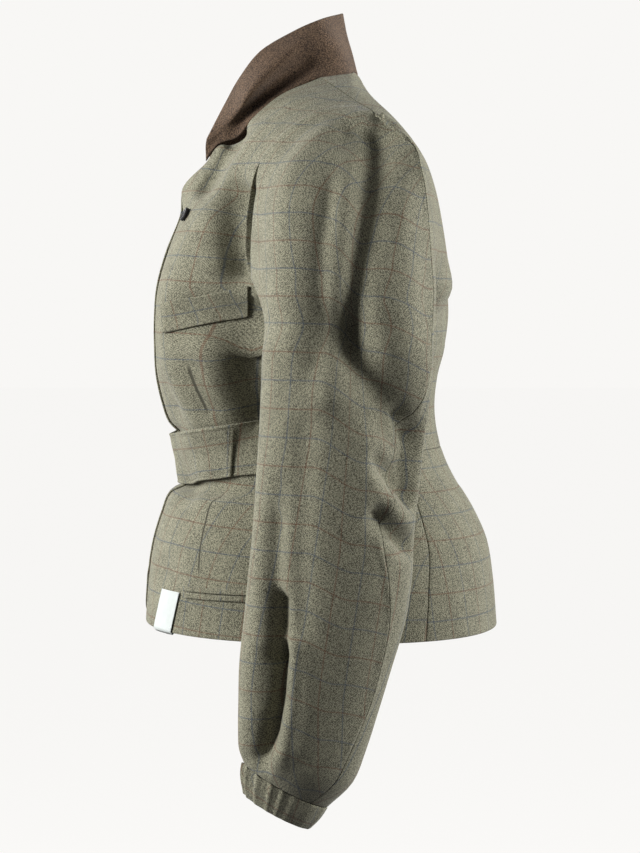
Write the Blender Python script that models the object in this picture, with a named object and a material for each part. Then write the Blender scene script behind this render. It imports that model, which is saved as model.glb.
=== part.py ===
"""Belted blouson jacket with grown-on bishop sleeves, as it hangs on its wearer's form with nobody in it.

Tables are in millimetres, the objects in metres. +Z is up, -Y is the front and +X is the wearer's left.
The origin lies on the middle plane at the height of the two points where neck and shoulder seams meet.
Only the left half is described: the right half is its mirror image, but for the overlap at the front.
"""
import math
from collections import namedtuple

import bpy
import numpy as np

MM = 0.001
WALL = 2.0                 # wool cloth, interfaced, with its turned-in edges
COLLAR_WALL = 2.6          # two layers of wool and an interfacing
BELT_WALL = 3.0            # two layers, turned and edge-stitched
SEAM_GAP = 0.3             # between two pieces that are sewn together
END_BEVEL = 0.3            # a wall's end slants in, so that two walls meet on a ridge without touching
LAY_GAP = 1.3              # between a panel and what is sewn on it
BODY_ROUND = 2.3           # 2 would be an ellipse, more is squarer
OVERLAP = 20.0             # how far each front edge passes the middle plane
OVERLAP_RAMP = 46.0        # the outer front climbs over the inner one across this width
OVERLAP_LIFT = WALL + 2.0
CORNER_WIDTH = 62.0        # the hem rises in a quarter ellipse towards the front edge
CORNER_HEIGHT = 34.0
ARCH_RISE = 7.0            # the cloth between body and sleeve, above the underarm point

# Half widths and depths of the body below the underarm. seam is the angle of the side seam, turned
# back from the wearer's side: it starts under the arm and runs towards the back over the hip. sag is
# how much lower the section lies at the back than at the front.
Body = namedtuple("Body", "height width front back seam sag")
BODY = [
    Body(-232, 164, -164.5, 129, 12, 0),
    Body(-262, 160, -164.5, 125, 17, 0),
    Body(-290, 152, -163.0, 118, 22, 0),
    Body(-318, 142, -157.0, 115, 27, 0),
    Body(-336, 137, -150.5, 116, 30, 0),
    Body(-348, 135, -139.5, 118, 32, 0),
    Body(-361, 134, -136.0, 121, 34, 0),
    Body(-379, 134, -134.0, 128, 36, 0),
    Body(-398, 138, -133.0, 138, 37, 0),
    Body(-408, 144, -150.0, 145, 37, 0),
    Body(-427, 152, -158.0, 156, 36, 0),
    Body(-455, 161, -166.5, 168, 35, 0),
    Body(-490, 168, -172.0, 174, 33, 1),
    Body(-535, 174, -175.5, 178, 31, 4),
]
WAIST_ROW = 6              # the back's waist seam lies on this section

# The sleeve below the underarm. crest and seam are angles round the sleeve from its outer side: the
# front crest and the overarm seam. tilt turns the section so that its front edge is the higher one.
Arm = namedtuple("Arm", "height x y deep wide tilt crest seam")
ARM = [
    Arm(-238, 236, 25, 56, 77, 0, -106, 78),
    Arm(-264, 237, 25, 56, 77, 0, -105, 74),
    Arm(-290, 237, 24, 56, 77, 0, -103, 70),
    Arm(-335, 239, 20, 56, 75, 0, -100, 60),
    Arm(-380, 241, 16, 56, 74, 0, -98, 50),
    Arm(-425, 243, 12, 55, 73, 0, -96, 38),
    Arm(-465, 244, 9, 54, 74, 0, -94, 44),
    Arm(-505, 244, 4, 53, 73, 0, -92, 51),
    Arm(-545, 244, -4, 51, 69, 1, -90, 55),
    Arm(-580, 243, -10, 49, 64, 3, -90, 54),
    Arm(-612, 242, -16, 46, 59, 8, -90, 48),
    Arm(-637, 240, -22, 42, 54, 16, -90, 42),
    Arm(-655, 237, -31, 32, 43, 28, -90, 36),
]

# The seam from the neck over the shoulder, to where it turns down the sleeve; and how much of its
# length lies before the chest column, the armhole fold's two sides, and its end.
SHOULDER_SEAM = [(70, 0, 0), (105, 18, -15), (150, 38, -33), (166, 46, -39), (182, 53, -45)]
SHOULDER_SHARES = (0, 0.33, 0.72, 0.77, 1)

# Rows of the front below that seam, down to the underarm: where each one leaves the neck or front
# edge, crosses the chest, dips at the armhole and rounds the sleeve to the overarm seam.
Yoke = namedtuple("Yoke", "edge front chest armhole crest outer seam")
FRONT_YOKE = [
    Yoke((78, -39, -18), (95, -30, -21), (112, -20, -25), (155, 5, -38), (172, 22, -42), (190, 42, -48),
         (198, 66, -55)),
    Yoke((75, -68, -42), (94, -57, -41), (112, -47, -42), (158, -19, -49), (178, -2, -52), (204, 35, -60),
         (208, 78, -66)),
    Yoke((62, -82, -57), (86, -75, -57), (109, -65, -57), (160, -38, -65), (184, -22, -68), (221, 28, -78),
         (215, 87, -79)),
    Yoke((50, -100, -63), (78, -90, -70), (105, -79, -74), (161, -53, -83), (189, -38, -86), (238, 24, -98),
         (220, 91, -96)),
    Yoke((36, -113, -79), (70, -102, -85), (101, -89, -90), (161, -61, -101), (192, -48, -104),
         (250, 22, -114), (223, 94, -110)),
    Yoke((18, -137, -104), (58, -120, -108), (97, -100, -113), (161, -66, -122), (195, -54, -124),
         (262, 21, -133), (226, 96, -125)),
    Yoke((-8, -138.5, -131), (36, -136.5, -134), (93, -121, -140), (160, -69, -148), (200, -56, -150),
         (274, 22, -158), (229, 98, -148)),
    Yoke((-20, -152.5, -169), (36, -151, -171), (91, -137, -174), (161, -69, -177), (206, -57, -180),
         (284, 24, -186), (233, 100, -178)),
    Yoke((-20, -161.5, -202), (36, -160, -203), (91, -147, -204), (163, -60, -202), (213, -56, -210),
         (290, 25, -212), (236, 102, -208)),
]
ARMHOLE_WIDTH = 11.0       # across the bottom of the fold between body and sleeve

# The same for the back: edge is the back neck and then the middle of the back.
Nape = namedtuple("Nape", "edge blade armhole bulge seam")
BACK_YOKE = [
    Nape((47, 27, 6), (102, 30, -14), (155, 46, -38), (178, 56, -47), (198, 66, -55)),
    Nape((0, 38, 9), (86, 45, -19), (158, 62, -45), (186, 71, -56), (208, 78, -66)),
    Nape((0, 52, -16), (84, 63, -32), (161, 77, -57), (194, 83, -68), (215, 87, -79)),
    Nape((0, 76, -46), (84, 85, -56), (163, 90, -74), (200, 92, -84), (220, 91, -96)),
    Nape((0, 94, -73), (84, 101, -80), (163, 99, -91), (204, 97, -101), (223, 94, -110)),
    Nape((0, 108, -103), (84, 111, -107), (163, 105, -113), (207, 100, -122), (226, 96, -125)),
    Nape((0, 118, -139), (84, 118, -140), (163, 109, -143), (211, 103, -148), (229, 98, -148)),
    Nape((0, 125, -174), (84, 123, -174), (163, 108, -174), (214, 104, -178), (233, 100, -178)),
    Nape((0, 128, -204), (84, 126, -204), (165, 86, -202), (216, 105, -208), (236, 102, -208)),
]
GORGE_ROW = 5              # the collar ends on this row of the front, counted from the shoulder seam
NECK_ROW = 2               # and passes the middle of the back on this row of the back

# The stand of the popped collar, at the rows that it is sewn to, from the front end to the middle
# of the back: the hollow above the seam, the bulge where it turns out, and its upper edge.
Stand = namedtuple("Stand", "hollow bulge top")
COLLAR = [
    Stand((38, -113, -72), (41, -113, -64), (42, -112, -57)),
    Stand((50, -99, -55), (52, -98, -48), (45, -104, -42)),
    Stand((61, -84, -43), (69, -80, -33), (49, -93, -22)),
    Stand((65, -68, -29), (79, -69, -18), (56, -80, 0)),
    Stand((67, -42, -4), (80, -47, 6), (62, -59, 26)),
    Stand((65, -8, 16), (70, -19, 32), (63, -30, 44)),
    Stand((52, 17, 29), (55, 5, 47), (55, -3, 57)),
    Stand((0, 33, 29), (0, 27, 50), (0, 23, 71)),
]

# Creases and dents, as seen from the wearer's side: each runs through points (y, z) and presses the
# cloth in by depth, fading over width; a negative depth is a raised ridge.
Fold = namedtuple("Fold", "name path width depth")
SLEEVE_FOLDS = [
    Fold("cap hollow", ((23, -56), (9, -105), (0, -170), (-2, -225), (-6, -270)), 13, 8),
    Fold("cap ridge", ((17, -88), (22, -130), (17, -180), (14, -215), (8, -300)), 13, -6),
    Fold("back hollow", ((52, -70), (42, -125), (35, -180), (32, -235), (36, -272)), 15, 15),
    Fold("back hollow, lower", ((36, -272), (48, -292), (66, -312), (86, -345)), 16, 15),
    Fold("drag above elbow", ((78, -338), (96, -362)), 9, 10),
    Fold("drag at elbow", ((64, -368), (84, -392)), 9, 8),
    Fold("drag below elbow", ((54, -410), (76, -432)), 10, 8),
    Fold("forearm trough", ((-14, -330), (-18, -420), (-18, -500)), 13, 5),
    Fold("front trough", ((-42, -410), (-44, -480), (-44, -530)), 9, 8),
    Fold("wrist trough", ((-45, -530), (-46, -580), (-50, -625), (-55, -648)), 10, 20),
    Fold("wrist ridge", ((-24, -520), (-26, -575), (-32, -610), (-44, -630)), 9, -7),
]
FRONT_FOLDS = [
    Fold("lapel roll", ((-80, -55), (-92, -74), (-104, -90), (-114, -103)), 9, 9),
    Fold("front fold over the belt", ((-150, -245), (-145, -280), (-132, -345)), 9, -5),
    Fold("dent beside it", ((-152, -300), (-140, -345)), 9, 5),
    Fold("hollow under the arm", ((-78, -262), (-80, -310), (-62, -335)), 22, 8),
    Fold("pull at the waist, below", ((-122, -398), (-134, -412)), 7, 5),
]

SLEEVE_FROM_X = 178.0      # sleeve creases stay outside this, body creases inside it
CREASE_EDGE = 8.0
WRIST_FADE = (5.0, 45.0)   # creases fade out between these distances from the sleeve's end

CHEST_CELLS, FLANK_CELLS, ARCH_CELLS = 4, 4, 2
CHEST_COLUMNS = (-OVERLAP, -2, 24, 56, 92)   # of the front below the underarm, out from the middle
FRONT_ARM_CELLS = (3, 4, 3, 3, 3)        # armhole to crest, round to the outer side, round to the seam
BACK_ARM_CELLS = (3, 3)                  # armhole to the back bulge, and on to the seam
BULGE_ANGLE = 93
YOKE_CELLS = (2, 2, 2, 2, 1, 2, 2, 2, 1, 1)
BODY_CELLS = (1,) * 12 + (2,)
ARM_CELLS = (1, 1, 2, 2, 2, 2, 2, 2, 2, 1, 1, 1)

CUFF_LEAN = (-2, -8, -25)                # from the middle of the cuff's seam to that of its opening
CUFF_NARROWING = 0.78
CUFF_STEPS = 68
GATHERS = 17                             # the elastic draws the cloth into this many small folds
GATHER_DEPTH = 1.7
CUFF_DROP = 0.3                          # the cuff hangs this far below the sleeve's last section

BELT_WIDTH = 51.0
BELT_TOP_FRONT = -346.0
BELT_RISE = 16.0                         # the belt climbs by this much from the front to the side
BELT_TIP_ANGLE = -32.0                   # the outer belt's end, on the wearer's left
BELT_START_X = 27.0                      # the inner belt's end, under the outer one
BELT_BACK_ANGLE = 24.0                   # both belts end short of the side seams
BELT_MIDDLE_Y = -20.0                    # the belt is laid on the body by lines from this middle
BELT_CELLS = 24
BELT_BEVEL = 0.4
BELT_GAP = 1.3                           # between it and the cloth, and between its two layers
LAY_BEVEL = 0.3

# Pieces laid on the left front, by their corners (y, z): top front, top back, low back, low front.
Lay = namedtuple("Lay", "name corners across down wall drop")
FRONT_LAYS = [
    Lay("chest_welt", ((-153, -218), (-66, -202), (-67, -231), (-150, -248)), 16, 3, 2.0, 0),
    Lay("hip_jet_upper", ((-129, -488.5), (-8, -488), (-8, -493), (-129, -493.7)), 15, 1, 1.6, 0),
    Lay("hip_jet_lower", ((-129, -494.3), (-8, -493.6), (-8, -498.8), (-129, -500)), 15, 1, 1.6, 0),
]
TAG = Lay("hem_tag", ((-151.9, -495.2), (-133.4, -495.5), (-142.2, -534.0), (-160.8, -534.0)), 4, 5, 0.8, 1.2)

BUTTON_DIAMETER, BUTTON_THICKNESS = 14.0, 3.6
BUTTON_PLACE = (-130, -133)              # y, z on the left front
BUTTON_SIDES = 24
BUTTON_GAP = 0.8


def clear_scene():
    for obj in list(bpy.data.objects):
        bpy.data.objects.remove(obj, do_unlink=True)


def material(name, colour, roughness):
    """A plain cloth or horn surface."""
    made = bpy.data.materials.new(name)
    made.use_nodes = True
    shader = made.node_tree.nodes["Principled BSDF"]
    shader.inputs["Base Color"].default_value = (*colour, 1.0)
    shader.inputs["Roughness"].default_value = roughness
    shader.inputs["Metallic"].default_value = 0.0
    return made


def spline(stations, cells):
    """Smooth curves through the stations (first axis), cut into cells[i] steps after station i."""
    pts = np.asarray(stations, float)
    pts = np.concatenate([2 * pts[:1] - pts[1:2], pts, 2 * pts[-1:] - pts[-2:-1]])
    gaps = np.sqrt(np.linalg.norm(np.diff(pts, axis=0), axis=-1, keepdims=True)) + 1e-6
    out = []
    for i, count in enumerate(cells):
        p0, p1, p2, p3 = pts[i:i + 4]
        g0, g1, g2 = gaps[i:i + 3]
        for k in range(count):
            t = k / count
            a1 = p1 + (p1 - p0) * (t * g1 / g0)
            a2 = p1 + (p2 - p1) * t
            a3 = p2 + (p3 - p2) * ((t - 1) * g1 / g2)
            b1 = a1 + (a2 - a1) * ((g0 + t * g1) / (g0 + g1))
            b2 = a2 + (a3 - a2) * (t * g1 / (g1 + g2))
            out.append(b1 + (b2 - b1) * t)
    out.append(pts[-2])
    return np.array(out)


def smooth_step(value, low, high):
    t = np.clip((value - low) / (high - low), 0, 1)
    return t * t * (3 - 2 * t)


def body_point(section, angle):
    """A point on a body section; angle -90 is the front, 0 the side and 90 the middle of the back."""
    c, s = math.cos(math.radians(angle)), math.sin(math.radians(angle))
    middle, reach = (section.front + section.back) / 2, (section.back - section.front) / 2
    power = 2 / BODY_ROUND
    x = section.width * math.copysign(abs(c) ** power, c)
    y = middle + reach * math.copysign(abs(s) ** power, s)
    return np.array((x, y, section.height - section.sag * (s + 1) / 2))


def front_angle(section, x):
    """The angle on the front of a body section where it is x from the middle plane."""
    c = math.copysign(abs(x / section.width) ** (BODY_ROUND / 2), x)
    return -math.degrees(math.acos(c))


def arm_point(section, angle):
    """A point on a sleeve section; angle -90 is its front edge, 0 its outer side, 180 its inner side."""
    c, s = math.cos(math.radians(angle)), math.sin(math.radians(angle))
    tilt = math.radians(section.tilt)
    y = section.y + section.wide * s * math.cos(tilt)
    z = section.height - section.wide * s * math.sin(tilt)
    return np.array((section.x + section.deep * c, y, z))


def above_wrist(points):
    """How far points lie above the plane of the sleeve's end."""
    wrist = ARM[-1]
    tilt = math.radians(wrist.tilt)
    return (points[:, 2] - wrist.height) * math.cos(tilt) + (points[:, 1] - wrist.y) * math.sin(tilt)


def steps_between(stops, cells):
    """The stops' values, with each interval cut into its number of even cells."""
    out = []
    for low, high, count in zip(stops, stops[1:], cells):
        out.extend(low + (high - low) * k / count for k in range(count))
    return out + [stops[-1]]


UNDERARM_BODY = body_point(BODY[0], BODY[0].seam)
UNDERARM_SLEEVE = arm_point(ARM[0], 180)
UNDERARM_TOP = (UNDERARM_BODY + UNDERARM_SLEEVE) / 2 + (0, 0, ARCH_RISE)


def armhole_lips(point):
    """The two sides of the fold between body and sleeve, and its bottom."""
    point = np.array(point, float)
    half = np.array((ARMHOLE_WIDTH / 2, 0, 0))
    return point - half, point, point + half


def between(start, end, x, y, z):
    """A point part of the way from start to end, each axis by its own share."""
    start, end = np.array(start, float), np.array(end, float)
    return start + (end - start) * (x, y, z)


def shoulder_row(arm_cells):
    """The shoulder seam: front and back have the same points on it, the front some of them repeated."""
    curve = spline(SHOULDER_SEAM, (20,) * (len(SHOULDER_SEAM) - 1))
    way = np.concatenate([[0], np.cumsum(np.linalg.norm(np.diff(curve, axis=0), axis=1))])
    knots = sum(BACK_ARM_CELLS)
    body_cells = CHEST_CELLS + FLANK_CELLS + ARCH_CELLS
    marks = np.array(steps_between(SHOULDER_SHARES, (CHEST_CELLS, FLANK_CELLS, ARCH_CELLS, knots)))
    picks = [*range(body_cells), *(body_cells + np.round(np.linspace(0, knots, arm_cells + 1)).astype(int))]
    return np.stack([np.interp(marks[picks] * way[-1], way, curve[:, axis]) for axis in range(3)], axis=1)


def front_yoke_row(row, lips):
    """The front's points on one row over the shoulder, from its edge to the overarm seam."""
    body_lip, fold, arm_lip = lips
    round_out = (0.29, 0.65, 0.5) if row.seam[0] < row.outer[0] else (0.5, 0.5, 0.5)
    stops = [row.edge, row.front, row.chest, body_lip, fold, arm_lip, row.crest,
             between(row.crest, row.outer, 0.71, 0.29, 0.5), row.outer,
             between(row.outer, row.seam, *round_out), row.seam]
    halves = (CHEST_CELLS // 2, CHEST_CELLS // 2, FLANK_CELLS, ARCH_CELLS // 2, ARCH_CELLS // 2)
    return spline(stops, halves + FRONT_ARM_CELLS)


def back_yoke_row(row, lips):
    """The back's points on one row over the shoulder, from its middle to the overarm seam."""
    body_lip, fold, arm_lip = lips
    stops = [row.edge, row.blade, body_lip, fold, arm_lip, row.bulge, row.seam]
    halves = (CHEST_CELLS, FLANK_CELLS, ARCH_CELLS // 2, ARCH_CELLS // 2)
    return spline(stops, halves + BACK_ARM_CELLS)


def front_body_row(section):
    angles = [front_angle(section, x) for x in CHEST_COLUMNS]
    angles += steps_between((angles[-1], section.seam), (FLANK_CELLS,))[1:]
    return [body_point(section, a) for a in angles]


def back_body_row(section):
    angles = [90, (90 + section.seam) / 2, section.seam]
    return [body_point(section, a) for a in steps_between(angles, (CHEST_CELLS, FLANK_CELLS))]


def front_arm_row(section):
    stops = [-180, section.crest, section.crest / 2, 0, section.seam / 2, section.seam]
    return [arm_point(section, a) for a in steps_between(stops, FRONT_ARM_CELLS)]


def back_arm_row(section):
    stops = [180, BULGE_ANGLE, section.seam]
    return [arm_point(section, a) for a in steps_between(stops, BACK_ARM_CELLS)]


def join_rows(yoke_rows, body_rows, arm_rows, body_cells):
    """Carry the yoke on into the body and the sleeve, which part at the underarm.

    Gives three grids of points: the yoke, the body below it and the sleeve below it.
    """
    yoke = np.array(yoke_rows)
    last_body = CHEST_CELLS + FLANK_CELLS
    first_arm = last_body + ARCH_CELLS
    trunk = spline(np.concatenate([yoke[:, :last_body + 1], body_rows[1:]]), YOKE_CELLS + body_cells)
    arch = spline(yoke[:, last_body + 1:first_arm], YOKE_CELLS)
    arm = spline(np.concatenate([yoke[:, first_arm:], arm_rows[1:]]), YOKE_CELLS + ARM_CELLS)
    rows = sum(YOKE_CELLS)
    top = np.concatenate([trunk[:rows + 1], arch, arm[:rows + 1]], axis=1)
    return top, trunk[rows:], arm[rows:]


def front_grids():
    """The left front's points, with the hem's corner cut round."""
    body = [front_body_row(section) for section in BODY]
    arm = [front_arm_row(section) for section in ARM]
    underarm = Yoke(body[0][0], body[0][CHEST_CELLS // 2], body[0][CHEST_CELLS], UNDERARM_TOP,
                    arm_point(ARM[0], ARM[0].crest), arm_point(ARM[0], 0), arm_point(ARM[0], ARM[0].seam))
    rows = [front_yoke_row(row, armhole_lips(row.armhole)) for row in FRONT_YOKE]
    rows.append(front_yoke_row(underarm, (UNDERARM_BODY, UNDERARM_TOP, UNDERARM_SLEEVE)))
    rows.insert(0, shoulder_row(sum(FRONT_ARM_CELLS)))
    top, trunk, sleeve = join_rows(rows, body, arm, BODY_CELLS)
    return top, round_corner(trunk), sleeve


def back_grids():
    """The left back's points, none of them past the middle plane."""
    body = [back_body_row(section) for section in BODY[:WAIST_ROW + 1]]
    arm = [back_arm_row(section) for section in ARM]
    underarm = Nape(body[0][0], body[0][CHEST_CELLS], UNDERARM_TOP, arm_point(ARM[0], BULGE_ANGLE),
                    arm_point(ARM[0], ARM[0].seam))
    rows = [back_yoke_row(row, armhole_lips(row.armhole)) for row in BACK_YOKE]
    rows.append(back_yoke_row(underarm, (UNDERARM_BODY, UNDERARM_TOP, UNDERARM_SLEEVE)))
    rows.insert(0, shoulder_row(sum(BACK_ARM_CELLS)))
    top, trunk, sleeve = join_rows(rows, body, arm, BODY_CELLS[:WAIST_ROW])
    top[..., 0] = np.maximum(top[..., 0], 0)
    return top, trunk, sleeve


def front_depth(height):
    """How far forward the body is at a height, from its table."""
    table = BODY[::-1]
    return np.interp(height, [section.height for section in table], [section.front for section in table])


def round_corner(trunk):
    """Cut the hem's front corner round: the lowest rows rise towards the front edge."""
    hem = BODY[-1].height
    low = smooth_step(-trunk[..., 2], -hem - 2 * CORNER_HEIGHT, -hem)
    near = np.clip((CORNER_WIDTH - OVERLAP - trunk[..., 0]) / CORNER_WIDTH, 0, 1)
    ahead = trunk[..., 1] < 0
    height = trunk[..., 2] + low * ahead * CORNER_HEIGHT * (1 - np.sqrt(1 - near ** 2))
    trunk[..., 1] += front_depth(height) - front_depth(trunk[..., 2])
    trunk[..., 2] = height
    return trunk


class Sheet:
    """One cut piece of cloth: its outer face, as points and quads whose normals point outwards."""

    def __init__(self, grids, flip=False):
        self.verts, self.quads, self.places = [], [], {}
        for grid in grids:
            ids = [[self.place(point) for point in row] for row in grid]
            for r in range(len(ids) - 1):
                for c in range(len(ids[0]) - 1):
                    quad = (ids[r][c], ids[r + 1][c], ids[r + 1][c + 1], ids[r][c + 1])
                    self.quads.append(quad[::-1] if flip else quad)
        self.verts = np.array(self.verts)
        self.normals = None

    def place(self, point):
        key = tuple(np.round(point, 3))
        if key not in self.places:
            self.places[key] = len(self.verts)
            self.verts.append(np.array(point, float))
        return self.places[key]

    def face_sums(self):
        """For each point, the sum of its quads' normals, weighted by their areas."""
        quads = np.array(self.quads)
        a, b, c, d = (self.verts[quads[:, i]] for i in range(4))
        faces = np.cross(c - a, d - b)
        total = np.zeros_like(self.verts)
        for i in range(4):
            np.add.at(total, quads[:, i], faces)
        return total

    def triangles(self):
        """Each quad cut along its shorter diagonal."""
        out = []
        for a, b, c, d in self.quads:
            v = self.verts
            if np.linalg.norm(v[a] - v[c]) <= np.linalg.norm(v[b] - v[d]) + 1e-6:
                out += [(a, b, c), (a, c, d)]
            else:
                out += [(b, c, d), (b, d, a)]
        return [tri for tri in out if len(set(tri)) == 3]

    def mirrored(self):
        """The same piece on the wearer's right."""
        twin = Sheet([])
        twin.verts = self.verts * (-1, 1, 1)
        twin.quads = [quad[::-1] for quad in self.quads]
        if self.normals is not None:
            twin.normals = self.normals * (-1, 1, 1)
        return twin

    def rim(self):
        """Directed edges that only one quad has."""
        edges = {}
        for quad in self.quads:
            for a, b in zip(quad, quad[1:] + quad[:1]):
                if a != b:
                    edges[(a, b)] = True
        return [(a, b) for a, b in edges if (b, a) not in edges]

    def inward(self):
        """For each rim point, the way along the cloth to its inside, long enough for a mitre."""
        ways = {}
        for a, b in self.rim():
            way = np.cross(self.normals[a] + self.normals[b], self.verts[b] - self.verts[a])
            way /= np.linalg.norm(way) + 1e-12
            for i in (a, b):
                ways.setdefault(i, []).append(way)
        out = {}
        for i, (first, *rest) in ways.items():
            total = first + sum(rest, np.zeros(3))
            size = np.linalg.norm(total)
            out[i] = total / size * min(2.0, 2.0 / max(size, 1e-6))
        return out

    def press(self, folds, side):
        """Press creases into the face that looks to the wearer's side: side 1 is the sleeve, -1 the body."""
        facing = smooth_step(self.normals[:, 0], -0.05, 0.35)
        facing *= smooth_step(side * (self.verts[:, 0] - SLEEVE_FROM_X), -CREASE_EDGE, CREASE_EDGE)
        facing *= smooth_step(above_wrist(self.verts), *WRIST_FADE)
        flat = self.verts[:, 1:]
        for fold in folds:
            gap = np.full(len(flat), 1e9)
            path = np.array(fold.path, float)
            for a, b in zip(path, path[1:]):
                along = np.clip(((flat - a) @ (b - a)) / ((b - a) @ (b - a)), 0, 1)
                gap = np.minimum(gap, np.linalg.norm(flat - a - along[:, None] * (b - a), axis=1))
            push = fold.depth * np.exp(-(gap / fold.width) ** 2) * facing
            self.verts = self.verts - self.normals * push[:, None]


def share_normals(sheets):
    """Find the sheets' normals; where pieces are sewn together they get the same one."""
    sums = {}
    keys = [[tuple(np.round(point, 2) + 0.0) for point in sheet.verts] for sheet in sheets]
    for sheet, names in zip(sheets, keys):
        for key, total in zip(names, sheet.face_sums()):
            sums[key] = sums.get(key, 0) + total
    for sheet, names in zip(sheets, keys):
        total = np.array([sums[key] for key in names])
        sheet.normals = total / np.linalg.norm(total, axis=1, keepdims=True)


def wall_mesh(name, outer, inner, triangles, rim):
    """A closed wall between two faces with the same triangles, its ends closed along the rim."""
    count = len(outer)
    faces = [tuple(tri) for tri in triangles]
    faces += [tuple(count + i for i in tri[::-1]) for tri in triangles]
    for a, b in rim:
        faces += [(b, a, count + a), (b, count + a, count + b)]
    mesh = bpy.data.meshes.new(name)
    mesh.from_pydata([tuple(p * MM) for p in np.vstack([outer, inner])], [], faces)
    mesh.validate()
    mesh.shade_smooth()
    mesh.set_sharp_from_angle(angle=math.radians(50))
    return mesh


def add_object(name, mesh, finish):
    obj = bpy.data.objects.new(name, mesh)
    obj.data.materials.append(finish)
    bpy.context.collection.objects.link(obj)
    return obj


def sew(name, sheet, finish, wall=WALL, lift=0.0, bevel=END_BEVEL):
    """Make a piece of cloth: the sheet, raised by lift, with its wall inside it and drawn in at the rim."""
    if sheet.normals is None:
        share_normals([sheet])
    outer = sheet.verts + sheet.normals * lift
    inner = outer - sheet.normals * wall
    for i, way in sheet.inward().items():
        outer[i] += way * (SEAM_GAP / 2)
        inner[i] += way * (SEAM_GAP / 2 + bevel)
    return add_object(name, wall_mesh(name, outer, inner, sheet.triangles(), sheet.rim()), finish)


def over_front(sheet):
    """Lift the outer front, on the wearer's right, over the inner one near the middle."""
    near = smooth_step(sheet.verts[:, 0], -OVERLAP - OVERLAP_RAMP, -OVERLAP - 1)
    ahead = smooth_step(-sheet.verts[:, 1], 90, 110)
    sheet.verts = sheet.verts + sheet.normals * (near * ahead * OVERLAP_LIFT)[:, None]
    return sheet


def collar_sheet(front_top, back_top):
    """The collar from the gorge on the left, round the back of the neck, to the gorge on the right."""
    front_cells, back_cells = YOKE_CELLS[:GORGE_ROW][::-1], YOKE_CELLS[:NECK_ROW]
    seam = np.concatenate([front_top[:sum(front_cells) + 1, 0][::-1], back_top[1:sum(back_cells) + 1, 0]])
    marks = np.concatenate([[0], np.cumsum(front_cells + back_cells)])
    stations = [[seam[mark], *stand] for mark, stand in zip(marks, COLLAR)]
    along = spline(stations, front_cells + back_cells)
    left = spline(np.swapaxes(along, 0, 1), (1, 2, 2))
    left[0] = seam
    right = left[:, ::-1][:, 1:] * (-1, 1, 1)
    return Sheet([np.concatenate([left, right], axis=1)[::-1]])


def peplum_sheet():
    """The back below the waist seam, from one side seam to the other, in one piece."""
    half = spline([back_body_row(section) for section in BODY[WAIST_ROW:]], BODY_CELLS[WAIST_ROW:])
    other = half[:, ::-1] * (-1, 1, 1)
    return Sheet([np.concatenate([other[:, :-1], half], axis=1)], flip=True)


def cuff_sheet():
    """The elastic band: a tube with small gathers, turned with the wrist."""
    top = ARM[-1]._replace(height=ARM[-1].height - CUFF_DROP)
    rings = []
    for share in (0.0, 0.5, 1.0):
        size = 1 - (1 - CUFF_NARROWING) * share
        lean = np.array(CUFF_LEAN) * share
        section = top._replace(x=top.x + lean[0], y=top.y + lean[1], height=top.height + lean[2],
                               deep=top.deep * size, wide=top.wide * size)
        middle = np.array((section.x, section.y, section.height))
        ring = []
        for k in range(CUFF_STEPS):
            angle = 360 * k / CUFF_STEPS
            point = arm_point(section, angle)
            ahead = 0.5 - 0.5 * math.sin(math.radians(angle))
            wave = GATHER_DEPTH * ahead * math.cos(math.radians(angle * GATHERS))
            out = (point - middle) / np.linalg.norm(point - middle)
            ring.append(point + out * wave)
        rings.append(ring + ring[:1])
    return Sheet([np.array(rings)])


def surface_hit(panel, start, way):
    """Where a line from inside the garment first meets a panel, and the panel's slope there."""
    corners = panel.verts[np.array(panel.triangles())]
    a, ab, ac = corners[:, 0], corners[:, 1] - corners[:, 0], corners[:, 2] - corners[:, 0]
    across = np.cross(np.broadcast_to(way, ac.shape), ac)
    size = np.einsum("ij,ij->i", ab, across)
    size[np.abs(size) < 1e-9] = np.inf
    off = np.array(start) - a
    u = np.einsum("ij,ij->i", off, across) / size
    turned = np.cross(off, ab)
    v = turned @ np.array(way) / size
    far = np.einsum("ij,ij->i", ac, turned) / size
    inside = (u >= -1e-6) & (v >= -1e-6) & (u + v <= 1 + 1e-6) & (far > 0)
    first = int(np.argmin(np.where(inside, far, np.inf)))
    normal = np.cross(ab[first], ac[first])
    return np.array(start) + np.array(way) * far[first], normal / np.linalg.norm(normal)


def patch(panel, lay):
    """A four-cornered piece that lies on a panel, made from the panel's own points."""
    p0, p1, p2, p3 = (np.array(corner, float) for corner in lay.corners)
    rows = []
    for v in np.linspace(0, 1, lay.down + 1):
        ends = p0 * (1 - v) + p3 * v, p1 * (1 - v) + p2 * v
        sides = [ends[0] * (1 - u) + ends[1] * u for u in np.linspace(0, 1, lay.across + 1)]
        rows.append([surface_hit(panel, (0, *side), (1, 0, 0))[0] for side in sides])
    return Sheet([np.array(rows)])


def belt_sheet(panel, first, last):
    """The belt on a panel between two angles: -90 is the front, 0 the wearer's left."""
    cells = max(2, round(BELT_CELLS * abs(last - first) / 90))
    rows = [[], [], []]
    for angle in np.linspace(first, last, cells + 1):
        section = BODY[WAIST_ROW]
        climb = BELT_RISE * smooth_step(abs(angle + 90), 0, 80)
        way = body_point(section, angle) - (0, BELT_MIDDLE_Y, section.height)
        way /= np.linalg.norm(way)
        for row, share in zip(rows, (0, 0.5, 1)):
            start = (0, BELT_MIDDLE_Y, BELT_TOP_FRONT + climb - BELT_WIDTH * share)
            row.append(surface_hit(panel, start, way)[0])
    return np.array(rows)


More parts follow.
